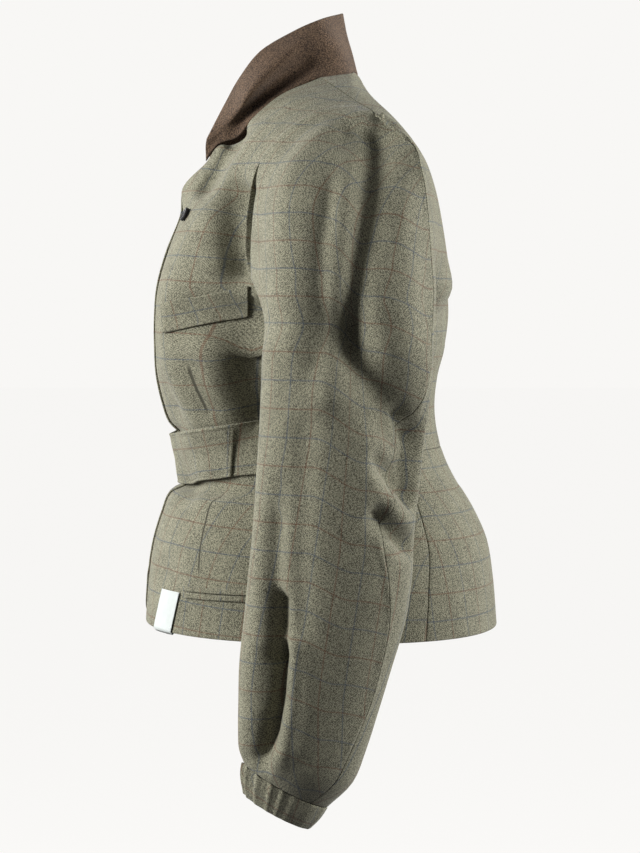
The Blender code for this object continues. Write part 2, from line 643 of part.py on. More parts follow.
def belts(front, cloth):
    """The inner belt on the wearer's left, and the outer one from the right across it."""
    start = front_angle(BODY[WAIST_ROW], BELT_START_X)
    inner = Sheet([belt_sheet(front, start, BELT_BACK_ANGLE)])
    sew("belt_left", inner, cloth, BELT_WALL, BELT_GAP + BELT_WALL, BELT_BEVEL)
    right = belt_sheet(front, -90, BELT_BACK_ANGLE)[:, ::-1] * (-1, 1, 1)
    left = belt_sheet(front, -90, BELT_TIP_ANGLE)
    outer = Sheet([np.concatenate([right, left[:, 1:]], axis=1)])
    share_normals([outer])
    x = outer.verts[:, 0]
    over_edge = smooth_step(x, -OVERLAP - OVERLAP_RAMP, -OVERLAP) * (1 - smooth_step(x, OVERLAP + 2, 48))
    over_belt = smooth_step(x, -14, BELT_START_X - 4)
    lift = OVERLAP_LIFT * over_edge + (BELT_WALL + BELT_GAP) * over_belt
    outer.verts = outer.verts + outer.normals * lift[:, None]
    sew("belt_right", outer, cloth, BELT_WALL, BELT_GAP + BELT_WALL, BELT_BEVEL)


def hem_tag(front, white):
    """A short tape folded round the hem: down the outside, under the edge and up inside."""
    outside = patch(front, TAG)
    share_normals([outside])
    across = TAG.across + 1
    face = outside.verts.reshape(-1, across, 3)
    out = outside.normals.reshape(-1, across, 3)
    skin = face + out * LAY_GAP
    under = face[-1:] - out[-1:] * (WALL / 2) + (0, 0, -LAY_GAP - TAG.drop)
    inside = (face - out * (WALL + LAY_GAP))[::-1]
    tape = Sheet([np.concatenate([skin, under, inside])])
    sew(TAG.name, tape, white, TAG.wall, TAG.wall, 0)


def button(panel, horn):
    """A flat button on the left front, turned to the cloth."""
    place, out = surface_hit(panel, (0, *BUTTON_PLACE), (1, 0, 0))
    aside = np.cross((0, 0, 1), out)
    aside /= np.linalg.norm(aside)
    up = np.cross(out, aside)
    radius = BUTTON_DIAMETER / 2
    turns = np.radians(np.arange(BUTTON_SIDES) * 360 / BUTTON_SIDES)
    rings = []
    for size, rise in ((1.0, 0.0), (1.0, 0.7), (0.8, 1.0)):
        middle = place + out * (BUTTON_GAP + BUTTON_THICKNESS * rise)
        rings += [middle + radius * size * (aside * math.cos(t) + up * math.sin(t)) for t in turns]
    n = BUTTON_SIDES
    faces = [(r * n + k, r * n + (k + 1) % n, (r + 1) * n + (k + 1) % n, (r + 1) * n + k)
             for r in range(2) for k in range(n)]
    faces += [tuple(range(n))[::-1], tuple(range(2 * n, 3 * n))]
    mesh = bpy.data.meshes.new("button")
    mesh.from_pydata([tuple(p * MM) for p in rings], [], faces)
    mesh.validate()
    add_object("button", mesh, horn)


def main():
    clear_scene()
    cloth = material("olive wool", (0.115, 0.108, 0.072), 0.85)
    brown = material("brown wool", (0.075, 0.048, 0.036), 0.9)
    white = material("white tape", (0.75, 0.74, 0.70), 0.7)
    horn = material("dark horn", (0.012, 0.011, 0.010), 0.35)

    front_parts, back_parts = front_grids(), back_grids()
    front, back = Sheet(front_parts), Sheet(back_parts, flip=True)
    peplum, cuff = peplum_sheet(), cuff_sheet()
    share_normals([front, back, peplum, front.mirrored(), back.mirrored()])
    front.press(SLEEVE_FOLDS, 1)
    back.press(SLEEVE_FOLDS, 1)
    front.press(FRONT_FOLDS, -1)
    share_normals([front, back, peplum, front.mirrored(), back.mirrored()])

    sew("front_left", front, cloth)
    sew("front_right", over_front(front.mirrored()), cloth)
    for side, pieces in (("left", (back, cuff)), ("right", (back.mirrored(), cuff.mirrored()))):
        sew("back_" + side, pieces[0], cloth)
        sew("cuff_" + side, pieces[1], cloth)
    sew("back_peplum", peplum, cloth)
    sew("collar", collar_sheet(front_parts[0], back_parts[0]), brown, COLLAR_WALL)
    belts(front, cloth)
    for lay in FRONT_LAYS:
        left = patch(front, lay)
        for side, sheet in (("left", left), ("right", left.mirrored())):
            sew(f"{lay.name}_{side}", sheet, cloth, lay.wall, LAY_GAP + lay.wall, LAY_BEVEL)
    hem_tag(front, white)
    button(front, horn)


main()
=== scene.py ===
"""Looks of the belted blouson jacket with grown-on bishop sleeves: cloth, seams, stitching and light.

Tables are in millimetres, the objects in metres. +Z is up, -Y is the front and +X is the wearer's left.
The tables and their curves are the solids' own, cut finer; some folds run deeper here than in the solids.
"""
import math
from collections import namedtuple

import bpy
import numpy as np
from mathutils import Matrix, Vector

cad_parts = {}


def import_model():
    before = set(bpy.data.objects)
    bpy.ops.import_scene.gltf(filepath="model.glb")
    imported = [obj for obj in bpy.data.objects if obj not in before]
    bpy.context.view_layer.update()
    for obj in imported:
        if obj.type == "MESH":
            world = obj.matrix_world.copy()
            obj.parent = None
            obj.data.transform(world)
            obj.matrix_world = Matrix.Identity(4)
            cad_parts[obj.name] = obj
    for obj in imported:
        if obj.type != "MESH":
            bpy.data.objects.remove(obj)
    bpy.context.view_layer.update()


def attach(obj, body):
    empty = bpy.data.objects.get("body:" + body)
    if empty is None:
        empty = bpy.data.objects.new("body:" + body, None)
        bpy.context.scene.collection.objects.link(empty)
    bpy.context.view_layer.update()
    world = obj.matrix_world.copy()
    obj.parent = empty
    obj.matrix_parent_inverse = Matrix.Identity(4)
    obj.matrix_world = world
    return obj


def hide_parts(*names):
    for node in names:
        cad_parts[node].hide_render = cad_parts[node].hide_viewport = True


FINE = 4                   # cells here for each cell of the solids
MM = 0.001
WALL = 2.0                 # wool cloth, interfaced, with its turned-in edges
COLLAR_WALL = 2.6          # two layers of wool and an interfacing
BELT_WALL = 3.0            # two layers, turned and edge-stitched
LAY_GAP = 1.3              # between a panel and what is sewn on it
BODY_ROUND = 2.3           # 2 would be an ellipse, more is squarer
OVERLAP = 20.0             # how far each front edge passes the middle plane
OVERLAP_RAMP = 46.0        # the outer front climbs over the inner one across this width
OVERLAP_LIFT = WALL + 2.0
CORNER_WIDTH = 62.0        # the hem rises in a quarter ellipse towards the front edge
CORNER_HEIGHT = 34.0
ARCH_RISE = 7.0            # the cloth between body and sleeve, above the underarm point

# Half widths and depths of the body below the underarm. seam is the angle of the side seam, turned
# back from the wearer's side: it starts under the arm and runs towards the back over the hip. sag is
# how much lower the section lies at the back than at the front.
Body = namedtuple("Body", "height width front back seam sag")
BODY = [
    Body(-232, 164, -164.5, 129, 12, 0),
    Body(-262, 160, -164.5, 125, 17, 0),
    Body(-290, 152, -163.0, 118, 22, 0),
    Body(-318, 142, -157.0, 115, 27, 0),
    Body(-336, 137, -150.5, 116, 30, 0),
    Body(-348, 135, -139.5, 118, 32, 0),
    Body(-361, 134, -136.0, 121, 34, 0),
    Body(-379, 134, -134.0, 128, 36, 0),
    Body(-398, 138, -133.0, 138, 37, 0),
    Body(-408, 144, -150.0, 145, 37, 0),
    Body(-427, 152, -158.0, 156, 36, 0),
    Body(-455, 161, -166.5, 168, 35, 0),
    Body(-490, 168, -172.0, 174, 33, 1),
    Body(-535, 174, -175.5, 178, 31, 4),
]
WAIST_ROW = 6              # the back's waist seam lies on this section

# The sleeve below the underarm. crest and seam are angles round the sleeve from its outer side: the
# front crest and the overarm seam. tilt turns the section so that its front edge is the higher one.
Arm = namedtuple("Arm", "height x y deep wide tilt crest seam")
ARM = [
    Arm(-238, 236, 25, 56, 77, 0, -106, 78),
    Arm(-264, 237, 25, 56, 77, 0, -105, 74),
    Arm(-290, 237, 24, 56, 77, 0, -103, 70),
    Arm(-335, 239, 20, 56, 75, 0, -100, 60),
    Arm(-380, 241, 16, 56, 74, 0, -98, 50),
    Arm(-425, 243, 12, 55, 73, 0, -96, 38),
    Arm(-465, 244, 9, 54, 74, 0, -94, 44),
    Arm(-505, 244, 4, 53, 73, 0, -92, 51),
    Arm(-545, 244, -4, 51, 69, 1, -90, 55),
    Arm(-580, 243, -10, 49, 64, 3, -90, 54),
    Arm(-612, 242, -16, 46, 59, 8, -90, 48),
    Arm(-637, 240, -22, 42, 54, 16, -90, 42),
    Arm(-655, 237, -31, 32, 43, 28, -90, 36),
]

# The seam from the neck over the shoulder, to where it turns down the sleeve; and how much of its
# length lies before the chest column, the armhole fold's two sides, and its end.
SHOULDER_SEAM = [(70, 0, 0), (105, 18, -15), (150, 38, -33), (166, 46, -39), (182, 53, -45)]
SHOULDER_SHARES = (0, 0.33, 0.72, 0.77, 1)

# Rows of the front below that seam, down to the underarm: where each one leaves the neck or front
# edge, crosses the chest, dips at the armhole and rounds the sleeve to the overarm seam.
Yoke = namedtuple("Yoke", "edge front chest armhole crest outer seam")
FRONT_YOKE = [
    Yoke((78, -39, -18), (95, -30, -21), (112, -20, -25), (155, 5, -38), (172, 22, -42), (190, 42, -48),
         (198, 66, -55)),
    Yoke((75, -68, -42), (94, -57, -41), (112, -47, -42), (158, -19, -49), (178, -2, -52), (204, 35, -60),
         (208, 78, -66)),
    Yoke((62, -82, -57), (86, -75, -57), (109, -65, -57), (160, -38, -65), (184, -22, -68), (221, 28, -78),
         (215, 87, -79)),
    Yoke((50, -100, -63), (78, -90, -70), (105, -79, -74), (161, -53, -83), (189, -38, -86), (238, 24, -98),
         (220, 91, -96)),
    Yoke((36, -113, -79), (70, -102, -85), (101, -89, -90), (161, -61, -101), (192, -48, -104),
         (250, 22, -114), (223, 94, -110)),
    Yoke((18, -137, -104), (58, -120, -108), (97, -100, -113), (161, -66, -122), (195, -54, -124),
         (262, 21, -133), (226, 96, -125)),
    Yoke((-8, -138.5, -131), (36, -136.5, -134), (93, -121, -140), (160, -69, -148), (200, -56, -150),
         (274, 22, -158), (229, 98, -148)),
    Yoke((-20, -152.5, -169), (36, -151, -171), (91, -137, -174), (161, -69, -177), (206, -57, -180),
         (284, 24, -186), (233, 100, -178)),
    Yoke((-20, -161.5, -202), (36, -160, -203), (91, -147, -204), (163, -60, -202), (213, -56, -210),
         (290, 25, -212), (236, 102, -208)),
]
ARMHOLE_WIDTH = 11.0       # across the bottom of the fold between body and sleeve

# The same for the back: edge is the back neck and then the middle of the back.
Nape = namedtuple("Nape", "edge blade armhole bulge seam")
BACK_YOKE = [
    Nape((47, 27, 6), (102, 30, -14), (155, 46, -38), (178, 56, -47), (198, 66, -55)),
    Nape((0, 38, 9), (86, 45, -19), (158, 62, -45), (186, 71, -56), (208, 78, -66)),
    Nape((0, 52, -16), (84, 63, -32), (161, 77, -57), (194, 83, -68), (215, 87, -79)),
    Nape((0, 76, -46), (84, 85, -56), (163, 90, -74), (200, 92, -84), (220, 91, -96)),
    Nape((0, 94, -73), (84, 101, -80), (163, 99, -91), (204, 97, -101), (223, 94, -110)),
    Nape((0, 108, -103), (84, 111, -107), (163, 105, -113), (207, 100, -122), (226, 96, -125)),
    Nape((0, 118, -139), (84, 118, -140), (163, 109, -143), (211, 103, -148), (229, 98, -148)),
    Nape((0, 125, -174), (84, 123, -174), (163, 108, -174), (214, 104, -178), (233, 100, -178)),
    Nape((0, 128, -204), (84, 126, -204), (165, 86, -202), (216, 105, -208), (236, 102, -208)),
]
GORGE_ROW = 5              # the collar ends on this row of the front, counted from the shoulder seam
NECK_ROW = 2               # and passes the middle of the back on this row of the back

# The stand of the popped collar, at the rows that it is sewn to, from the front end to the middle
# of the back: the hollow above the seam, the bulge where it turns out, and its upper edge.
Stand = namedtuple("Stand", "hollow bulge top")
COLLAR = [
    Stand((38, -113, -72), (41, -113, -64), (42, -112, -57)),
    Stand((50, -99, -55), (52, -98, -48), (45, -104, -42)),
    Stand((61, -84, -43), (69, -80, -33), (49, -93, -22)),
    Stand((65, -68, -29), (79, -69, -18), (56, -80, 0)),
    Stand((67, -42, -4), (80, -47, 6), (62, -59, 26)),
    Stand((65, -8, 16), (70, -19, 32), (63, -30, 44)),
    Stand((52, 17, 29), (55, 5, 47), (55, -3, 57)),
    Stand((0, 33, 29), (0, 27, 50), (0, 23, 71)),
]

# Creases and dents, as seen from the wearer's side: each runs through points (y, z) and presses the
# cloth in by depth, fading over width; a negative depth is a raised ridge.
Fold = namedtuple("Fold", "name path width depth")
SLEEVE_FOLDS = [
    Fold("cap hollow", ((23, -56), (9, -105), (0, -170), (-2, -225), (-6, -270)), 13, 8),
    Fold("cap ridge", ((17, -88), (22, -130), (17, -180), (14, -215), (8, -300)), 13, -6),
    Fold("back hollow", ((52, -70), (42, -125), (32, -180), (25, -225), (24, -255)), 20, 17),
    Fold("back hollow, lower", ((27, -245), (40, -276), (56, -302), (72, -330), (90, -360)), 23, 19),
    Fold("drag above elbow", ((78, -338), (96, -362)), 9, 6),
    Fold("drag at elbow", ((64, -368), (84, -392)), 10, 5),
    Fold("drag below elbow", ((54, -410), (76, -432)), 10, 5),
    Fold("forearm trough", ((-14, -330), (-18, -420), (-18, -500)), 13, 5),
    Fold("front trough", ((-42, -410), (-44, -480), (-44, -530)), 9, 8),
    Fold("wrist trough", ((-36, -530), (-40, -575), (-48, -612), (-60, -645)), 8, 20),
    Fold("wrist ridge", ((-22, -520), (-24, -575), (-30, -610), (-44, -635)), 9, -7),
]
FRONT_FOLDS = [
    Fold("lapel roll", ((-80, -55), (-92, -74), (-104, -90), (-114, -103)), 9, 9),
    Fold("front fold over the belt", ((-150, -245), (-145, -280), (-132, -345)), 9, -5),
    Fold("dent beside it", ((-152, -300), (-140, -345)), 9, 5),
    Fold("hollow under the arm", ((-78, -262), (-80, -310), (-62, -335)), 22, 8),
    Fold("pull at the waist, below", ((-122, -398), (-134, -412)), 7, 5),
]

SLEEVE_FROM_X = 178.0      # sleeve creases stay outside this, body creases inside it
CREASE_EDGE = 8.0
WRIST_FADE = (5.0, 45.0)   # creases fade out between these distances from the sleeve's end

CHEST_CELLS, FLANK_CELLS, ARCH_CELLS = 4 * FINE, 4 * FINE, 2 * FINE
CHEST_COLUMNS = (-OVERLAP, -2, 24, 56, 92)   # of the front below the underarm, out from the middle
# The front's sleeve goes from the armhole to the crest, round to the outer side and round to the seam,
# the back's from the armhole to the back bulge and on to the seam.
FRONT_ARM_CELLS = tuple(FINE * n for n in (3, 4, 3, 3, 3))
BACK_ARM_CELLS = (3 * FINE, 3 * FINE)
BULGE_ANGLE = 93
YOKE_CELLS = tuple(FINE * n for n in (2, 2, 2, 2, 1, 2, 2, 2, 1, 1))
BODY_CELLS = (FINE,) * 12 + (2 * FINE,)
ARM_CELLS = tuple(FINE * n for n in (1, 1, 2, 2, 2, 2, 2, 2, 2, 1, 1, 1))

CUFF_LEAN = (-2, -8, -25)                # from the middle of the cuff's seam to that of its opening
CUFF_NARROWING = 0.78
GATHERS = 17                             # the elastic draws the cloth into this many small folds
CUFF_DROP = 0.3                          # the cuff hangs this far below the sleeve's last section

BELT_WIDTH = 51.0
BELT_TOP_FRONT = -346.0
BELT_RISE = 16.0                         # the belt climbs by this much from the front to the side
BELT_TIP_ANGLE = -32.0                   # the outer belt's end, on the wearer's left
BELT_START_X = 27.0                      # the inner belt's end, under the outer one
BELT_BACK_ANGLE = 24.0                   # both belts end short of the side seams
BELT_MIDDLE_Y = -20.0                    # the belt is laid on the body by lines from this middle
BELT_CELLS = 24
BELT_GAP = 1.3                           # between it and the cloth, and between its two layers

# Pieces laid on the left front, by their corners (y, z): top front, top back, low back, low front.
Lay = namedtuple("Lay", "name corners across down wall drop")
FRONT_LAYS = [
    Lay("chest_welt", ((-153, -218), (-66, -202), (-67, -231), (-150, -248)), 16, 3, 2.0, 0),
    Lay("hip_jet_upper", ((-129, -488.5), (-8, -488), (-8, -493), (-129, -493.7)), 15, 1, 1.6, 0),
    Lay("hip_jet_lower", ((-129, -494.3), (-8, -493.6), (-8, -498.8), (-129, -500)), 15, 1, 1.6, 0),
]
TAG = Lay("hem_tag", ((-151.9, -495.2), (-133.4, -495.5), (-142.2, -534.0), (-160.8, -534.0)), 4, 5, 0.8, 1.2)

BUTTON_DIAMETER, BUTTON_THICKNESS = 14.0, 3.6
BUTTON_PLACE = (-130, -133)              # y, z on the left front
BUTTON_GAP = 0.8


def spline(stations, cells):
    """Smooth curves through the stations (first axis), cut into cells[i] steps after station i."""
    pts = np.asarray(stations, float)
    pts = np.concatenate([2 * pts[:1] - pts[1:2], pts, 2 * pts[-1:] - pts[-2:-1]])
    gaps = np.sqrt(np.linalg.norm(np.diff(pts, axis=0), axis=-1, keepdims=True)) + 1e-6
    out = []
    for i, count in enumerate(cells):
        p0, p1, p2, p3 = pts[i:i + 4]
        g0, g1, g2 = gaps[i:i + 3]
        for k in range(count):
            t = k / count
            a1 = p1 + (p1 - p0) * (t * g1 / g0)
            a2 = p1 + (p2 - p1) * t
            a3 = p2 + (p3 - p2) * ((t - 1) * g1 / g2)
            b1 = a1 + (a2 - a1) * ((g0 + t * g1) / (g0 + g1))
            b2 = a2 + (a3 - a2) * (t * g1 / (g1 + g2))
            out.append(b1 + (b2 - b1) * t)
    out.append(pts[-2])
    return np.array(out)


def smooth_step(value, low, high):
    t = np.clip((value - low) / (high - low), 0, 1)
    return t * t * (3 - 2 * t)


def body_point(section, angle):
    """A point on a body section; angle -90 is the front, 0 the side and 90 the middle of the back."""
    c, s = math.cos(math.radians(angle)), math.sin(math.radians(angle))
    middle, reach = (section.front + section.back) / 2, (section.back - section.front) / 2
    power = 2 / BODY_ROUND
    x = section.width * math.copysign(abs(c) ** power, c)
    y = middle + reach * math.copysign(abs(s) ** power, s)
    return np.array((x, y, section.height - section.sag * (s + 1) / 2))


def front_angle(section, x):
    """The angle on the front of a body section where it is x from the middle plane."""
    c = math.copysign(abs(x / section.width) ** (BODY_ROUND / 2), x)
    return -math.degrees(math.acos(c))


def arm_point(section, angle):
    """A point on a sleeve section; angle -90 is its front edge, 0 its outer side, 180 its inner side."""
    c, s = math.cos(math.radians(angle)), math.sin(math.radians(angle))
    tilt = math.radians(section.tilt)
    y = section.y + section.wide * s * math.cos(tilt)
    z = section.height - section.wide * s * math.sin(tilt)
    return np.array((section.x + section.deep * c, y, z))


def above_wrist(points):
    """How far points lie above the plane of the sleeve's end."""
    wrist = ARM[-1]
    tilt = math.radians(wrist.tilt)
    return (points[:, 2] - wrist.height) * math.cos(tilt) + (points[:, 1] - wrist.y) * math.sin(tilt)


def steps_between(stops, cells):
    """The stops' values, with each interval cut into its number of even cells."""
    out = []
    for low, high, count in zip(stops, stops[1:], cells):
        out.extend(low + (high - low) * k / count for k in range(count))
    return out + [stops[-1]]


UNDERARM_BODY = body_point(BODY[0], BODY[0].seam)
UNDERARM_SLEEVE = arm_point(ARM[0], 180)
UNDERARM_TOP = (UNDERARM_BODY + UNDERARM_SLEEVE) / 2 + (0, 0, ARCH_RISE)


def armhole_lips(point):
    """The two sides of the fold between body and sleeve, and its bottom."""
    point = np.array(point, float)
    half = np.array((ARMHOLE_WIDTH / 2, 0, 0))
    return point - half, point, point + half


def between(start, end, x, y, z):
    """A point part of the way from start to end, each axis by its own share."""
    start, end = np.array(start, float), np.array(end, float)
    return start + (end - start) * (x, y, z)


def shoulder_row(arm_cells):
    """The shoulder seam: front and back have the same points on it, the front some of them repeated."""
    curve = spline(SHOULDER_SEAM, (20,) * (len(SHOULDER_SEAM) - 1))
    way = np.concatenate([[0], np.cumsum(np.linalg.norm(np.diff(curve, axis=0), axis=1))])
    knots = sum(BACK_ARM_CELLS)
    body_cells = CHEST_CELLS + FLANK_CELLS + ARCH_CELLS
    marks = np.array(steps_between(SHOULDER_SHARES, (CHEST_CELLS, FLANK_CELLS, ARCH_CELLS, knots)))
    picks = [*range(body_cells), *(body_cells + np.round(np.linspace(0, knots, arm_cells + 1)).astype(int))]
    return np.stack([np.interp(marks[picks] * way[-1], way, curve[:, axis]) for axis in range(3)], axis=1)


def front_yoke_row(row, lips):
    """The front's points on one row over the shoulder, from its edge to the overarm seam."""
    body_lip, fold, arm_lip = lips
    round_out = (0.29, 0.65, 0.5) if row.seam[0] < row.outer[0] else (0.5, 0.5, 0.5)
    stops = [row.edge, row.front, row.chest, body_lip, fold, arm_lip, row.crest,
             between(row.crest, row.outer, 0.71, 0.29, 0.5), row.outer,
             between(row.outer, row.seam, *round_out), row.seam]
    halves = (CHEST_CELLS // 2, CHEST_CELLS // 2, FLANK_CELLS, ARCH_CELLS // 2, ARCH_CELLS // 2)
    return spline(stops, halves + FRONT_ARM_CELLS)


def back_yoke_row(row, lips):
    """The back's points on one row over the shoulder, from its middle to the overarm seam."""
    body_lip, fold, arm_lip = lips
    stops = [row.edge, row.blade, body_lip, fold, arm_lip, row.bulge, row.seam]
    halves = (CHEST_CELLS, FLANK_CELLS, ARCH_CELLS // 2, ARCH_CELLS // 2)
    return spline(stops, halves + BACK_ARM_CELLS)


def front_body_row(section):
    columns = steps_between(CHEST_COLUMNS, (FINE,) * (len(CHEST_COLUMNS) - 1))
    angles = [front_angle(section, x) for x in columns]
    angles += steps_between((angles[-1], section.seam), (FLANK_CELLS,))[1:]
    return [body_point(section, a) for a in angles]


def back_body_row(section):
    angles = [90, (90 + section.seam) / 2, section.seam]
    return [body_point(section, a) for a in steps_between(angles, (CHEST_CELLS, FLANK_CELLS))]


def front_arm_row(section):
    stops = [-180, section.crest, section.crest / 2, 0, section.seam / 2, section.seam]
    return [arm_point(section, a) for a in steps_between(stops, FRONT_ARM_CELLS)]


def back_arm_row(section):
    stops = [180, BULGE_ANGLE, section.seam]
    return [arm_point(section, a) for a in steps_between(stops, BACK_ARM_CELLS)]


def join_rows(yoke_rows, body_rows, arm_rows, body_cells):
    """Carry the yoke on into the body and the sleeve, which part at the underarm.

    Gives three grids of points: the yoke, the body below it and the sleeve below it.
    """
    yoke = np.array(yoke_rows)
    last_body = CHEST_CELLS + FLANK_CELLS
    first_arm = last_body + ARCH_CELLS
    trunk = spline(np.concatenate([yoke[:, :last_body + 1], body_rows[1:]]), YOKE_CELLS + body_cells)
    arch = spline(yoke[:, last_body + 1:first_arm], YOKE_CELLS)
    arm = spline(np.concatenate([yoke[:, first_arm:], arm_rows[1:]]), YOKE_CELLS + ARM_CELLS)
    rows = sum(YOKE_CELLS)
    top = np.concatenate([trunk[:rows + 1], arch, arm[:rows + 1]], axis=1)
    return top, trunk[rows:], arm[rows:]


def front_grids():
    """The left front's points, with the hem's corner cut round."""
    body = [front_body_row(section) for section in BODY]
    arm = [front_arm_row(section) for section in ARM]
    underarm = Yoke(body[0][0], body[0][CHEST_CELLS // 2], body[0][CHEST_CELLS], UNDERARM_TOP,
                    arm_point(ARM[0], ARM[0].crest), arm_point(ARM[0], 0), arm_point(ARM[0], ARM[0].seam))
    rows = [front_yoke_row(row, armhole_lips(row.armhole)) for row in FRONT_YOKE]
    rows.append(front_yoke_row(underarm, (UNDERARM_BODY, UNDERARM_TOP, UNDERARM_SLEEVE)))
    rows.insert(0, shoulder_row(sum(FRONT_ARM_CELLS)))
    top, trunk, sleeve = join_rows(rows, body, arm, BODY_CELLS)
    return top, round_corner(trunk), sleeve


def back_grids():
    """The left back's points, none of them past the middle plane."""
    body = [back_body_row(section) for section in BODY[:WAIST_ROW + 1]]
    arm = [back_arm_row(section) for section in ARM]
    underarm = Nape(body[0][0], body[0][CHEST_CELLS], UNDERARM_TOP, arm_point(ARM[0], BULGE_ANGLE),
                    arm_point(ARM[0], ARM[0].seam))
    rows = [back_yoke_row(row, armhole_lips(row.armhole)) for row in BACK_YOKE]
    rows.append(back_yoke_row(underarm, (UNDERARM_BODY, UNDERARM_TOP, UNDERARM_SLEEVE)))
    rows.insert(0, shoulder_row(sum(BACK_ARM_CELLS)))
    top, trunk, sleeve = join_rows(rows, body, arm, BODY_CELLS[:WAIST_ROW])
    top[..., 0] = np.maximum(top[..., 0], 0)
    return top, trunk, sleeve


def front_depth(height):
    """How far forward the body is at a height, from its table."""
    table = BODY[::-1]
    return np.interp(height, [section.height for section in table], [section.front for section in table])


def round_corner(trunk):
    """Cut the hem's front corner round: the lowest rows rise towards the front edge."""
    hem = BODY[-1].height
    low = smooth_step(-trunk[..., 2], -hem - 2 * CORNER_HEIGHT, -hem)
    near = np.clip((CORNER_WIDTH - OVERLAP - trunk[..., 0]) / CORNER_WIDTH, 0, 1)
    ahead = trunk[..., 1] < 0
    height = trunk[..., 2] + low * ahead * CORNER_HEIGHT * (1 - np.sqrt(1 - near ** 2))
    trunk[..., 1] += front_depth(height) - front_depth(trunk[..., 2])
    trunk[..., 2] = height
    return trunk


# The cloth. The thin lines of its check are blue and rust in turn, both ways.
CHECK_ACROSS, CHECK_DOWN = 22.5, 25.4    # from one line to the next, along the weft and along the warp
CLOTH_UNIT = 100.0                       # the cloth map's unit, in millimetres
CHEST_BLUE_Z, CREST_BLUE_Z, BACK_BLUE_Z, PEPLUM_BLUE_Z = -128.0, -138.0, -145.0, -422.0
CHEST_ACROSS = -177.0                    # the chest column's place across the cloth
CREST_ACROSS = ((-700, -30), (-567, -30), (-436, -45), (-340, -60), (-190, -76), (-104, -55), (-66, -50),
                (0, -55))
TUCKED = ((-700, 0), (-436, 0), (-295, 22), (-216, 32), (-150, 8), (-88, -10), (0, -10))
TUCK_ANGLES = (-15, 18)                  # cloth taken up by the fold round the outer side, by height
GRAIN_DROP = ((-20, 18, 25), (15, 75, 20))   # the weft runs lower towards the back, by angle
GRAIN_SHARE = ((-700, 0.6), (-567, 0.6), (-436, 0.7), (-300, 1), (-216, 1), (-150, 0.9), (-88, 0.7), (0, 0.4))
FLANK_EASE = 260.0                       # below the arm the cloth comes back to its own width in this height
BACK_ARM_EASE = 0.93
BACK_ACROSS = CHECK_ACROSS / 2           # the middle back lies between two lines of the check

FACING = (-0.05, 0.35)                   # how far a face looks to the side, from where creases start
RIM = 1.1                                # a piece's edge is rolled over this width
# The rolled edge's points: how far back from the edge, and how far down as a share of the wall.
RIM_PROFILE = ((0.42, 0.10), (0.12, 0.5), (0.42, 0.90))


def lengths(points):
    """How far along their lines points lie, from the first."""
    steps = np.linalg.norm(np.diff(points, axis=0), axis=-1)
    return np.concatenate([np.zeros((1,) + steps.shape[1:]), np.cumsum(steps, axis=0)])


def drop_along(line, blue):
    """A function that gives how far down the cloth a height lies, from the blue line at height blue."""
    above = line[0] + (line[0] - line[1]) * 30
    below = line[-1] + (line[-1] - line[-2]) * 30
    line = np.concatenate([[above], line, [below]])
    way = lengths(line)
    start = np.interp(-blue, -line[:, 2], way)
    return lambda z: np.interp(-z, -line[:, 2], way) - start


def table(pairs, z):
    """The value at each height, from a table of heights and values."""
    heights, values = zip(*pairs)
    return np.interp(z, heights, values)


def row_angles(crest, seam):
    return steps_between((-180, crest, crest / 2, 0, seam / 2, seam), FRONT_ARM_CELLS)


def sleeve_angles(rows):
    """The angles of the front's sleeve columns on every row below the underarm."""
    marks = np.concatenate([[0], np.cumsum(ARM_CELLS)])
    crest = np.interp(np.arange(rows), marks, [section.crest for section in ARM])
    seam = np.interp(np.arange(rows), marks, [section.seam for section in ARM])
    return np.array([row_angles(c, s) for c, s in zip(crest, seam)])


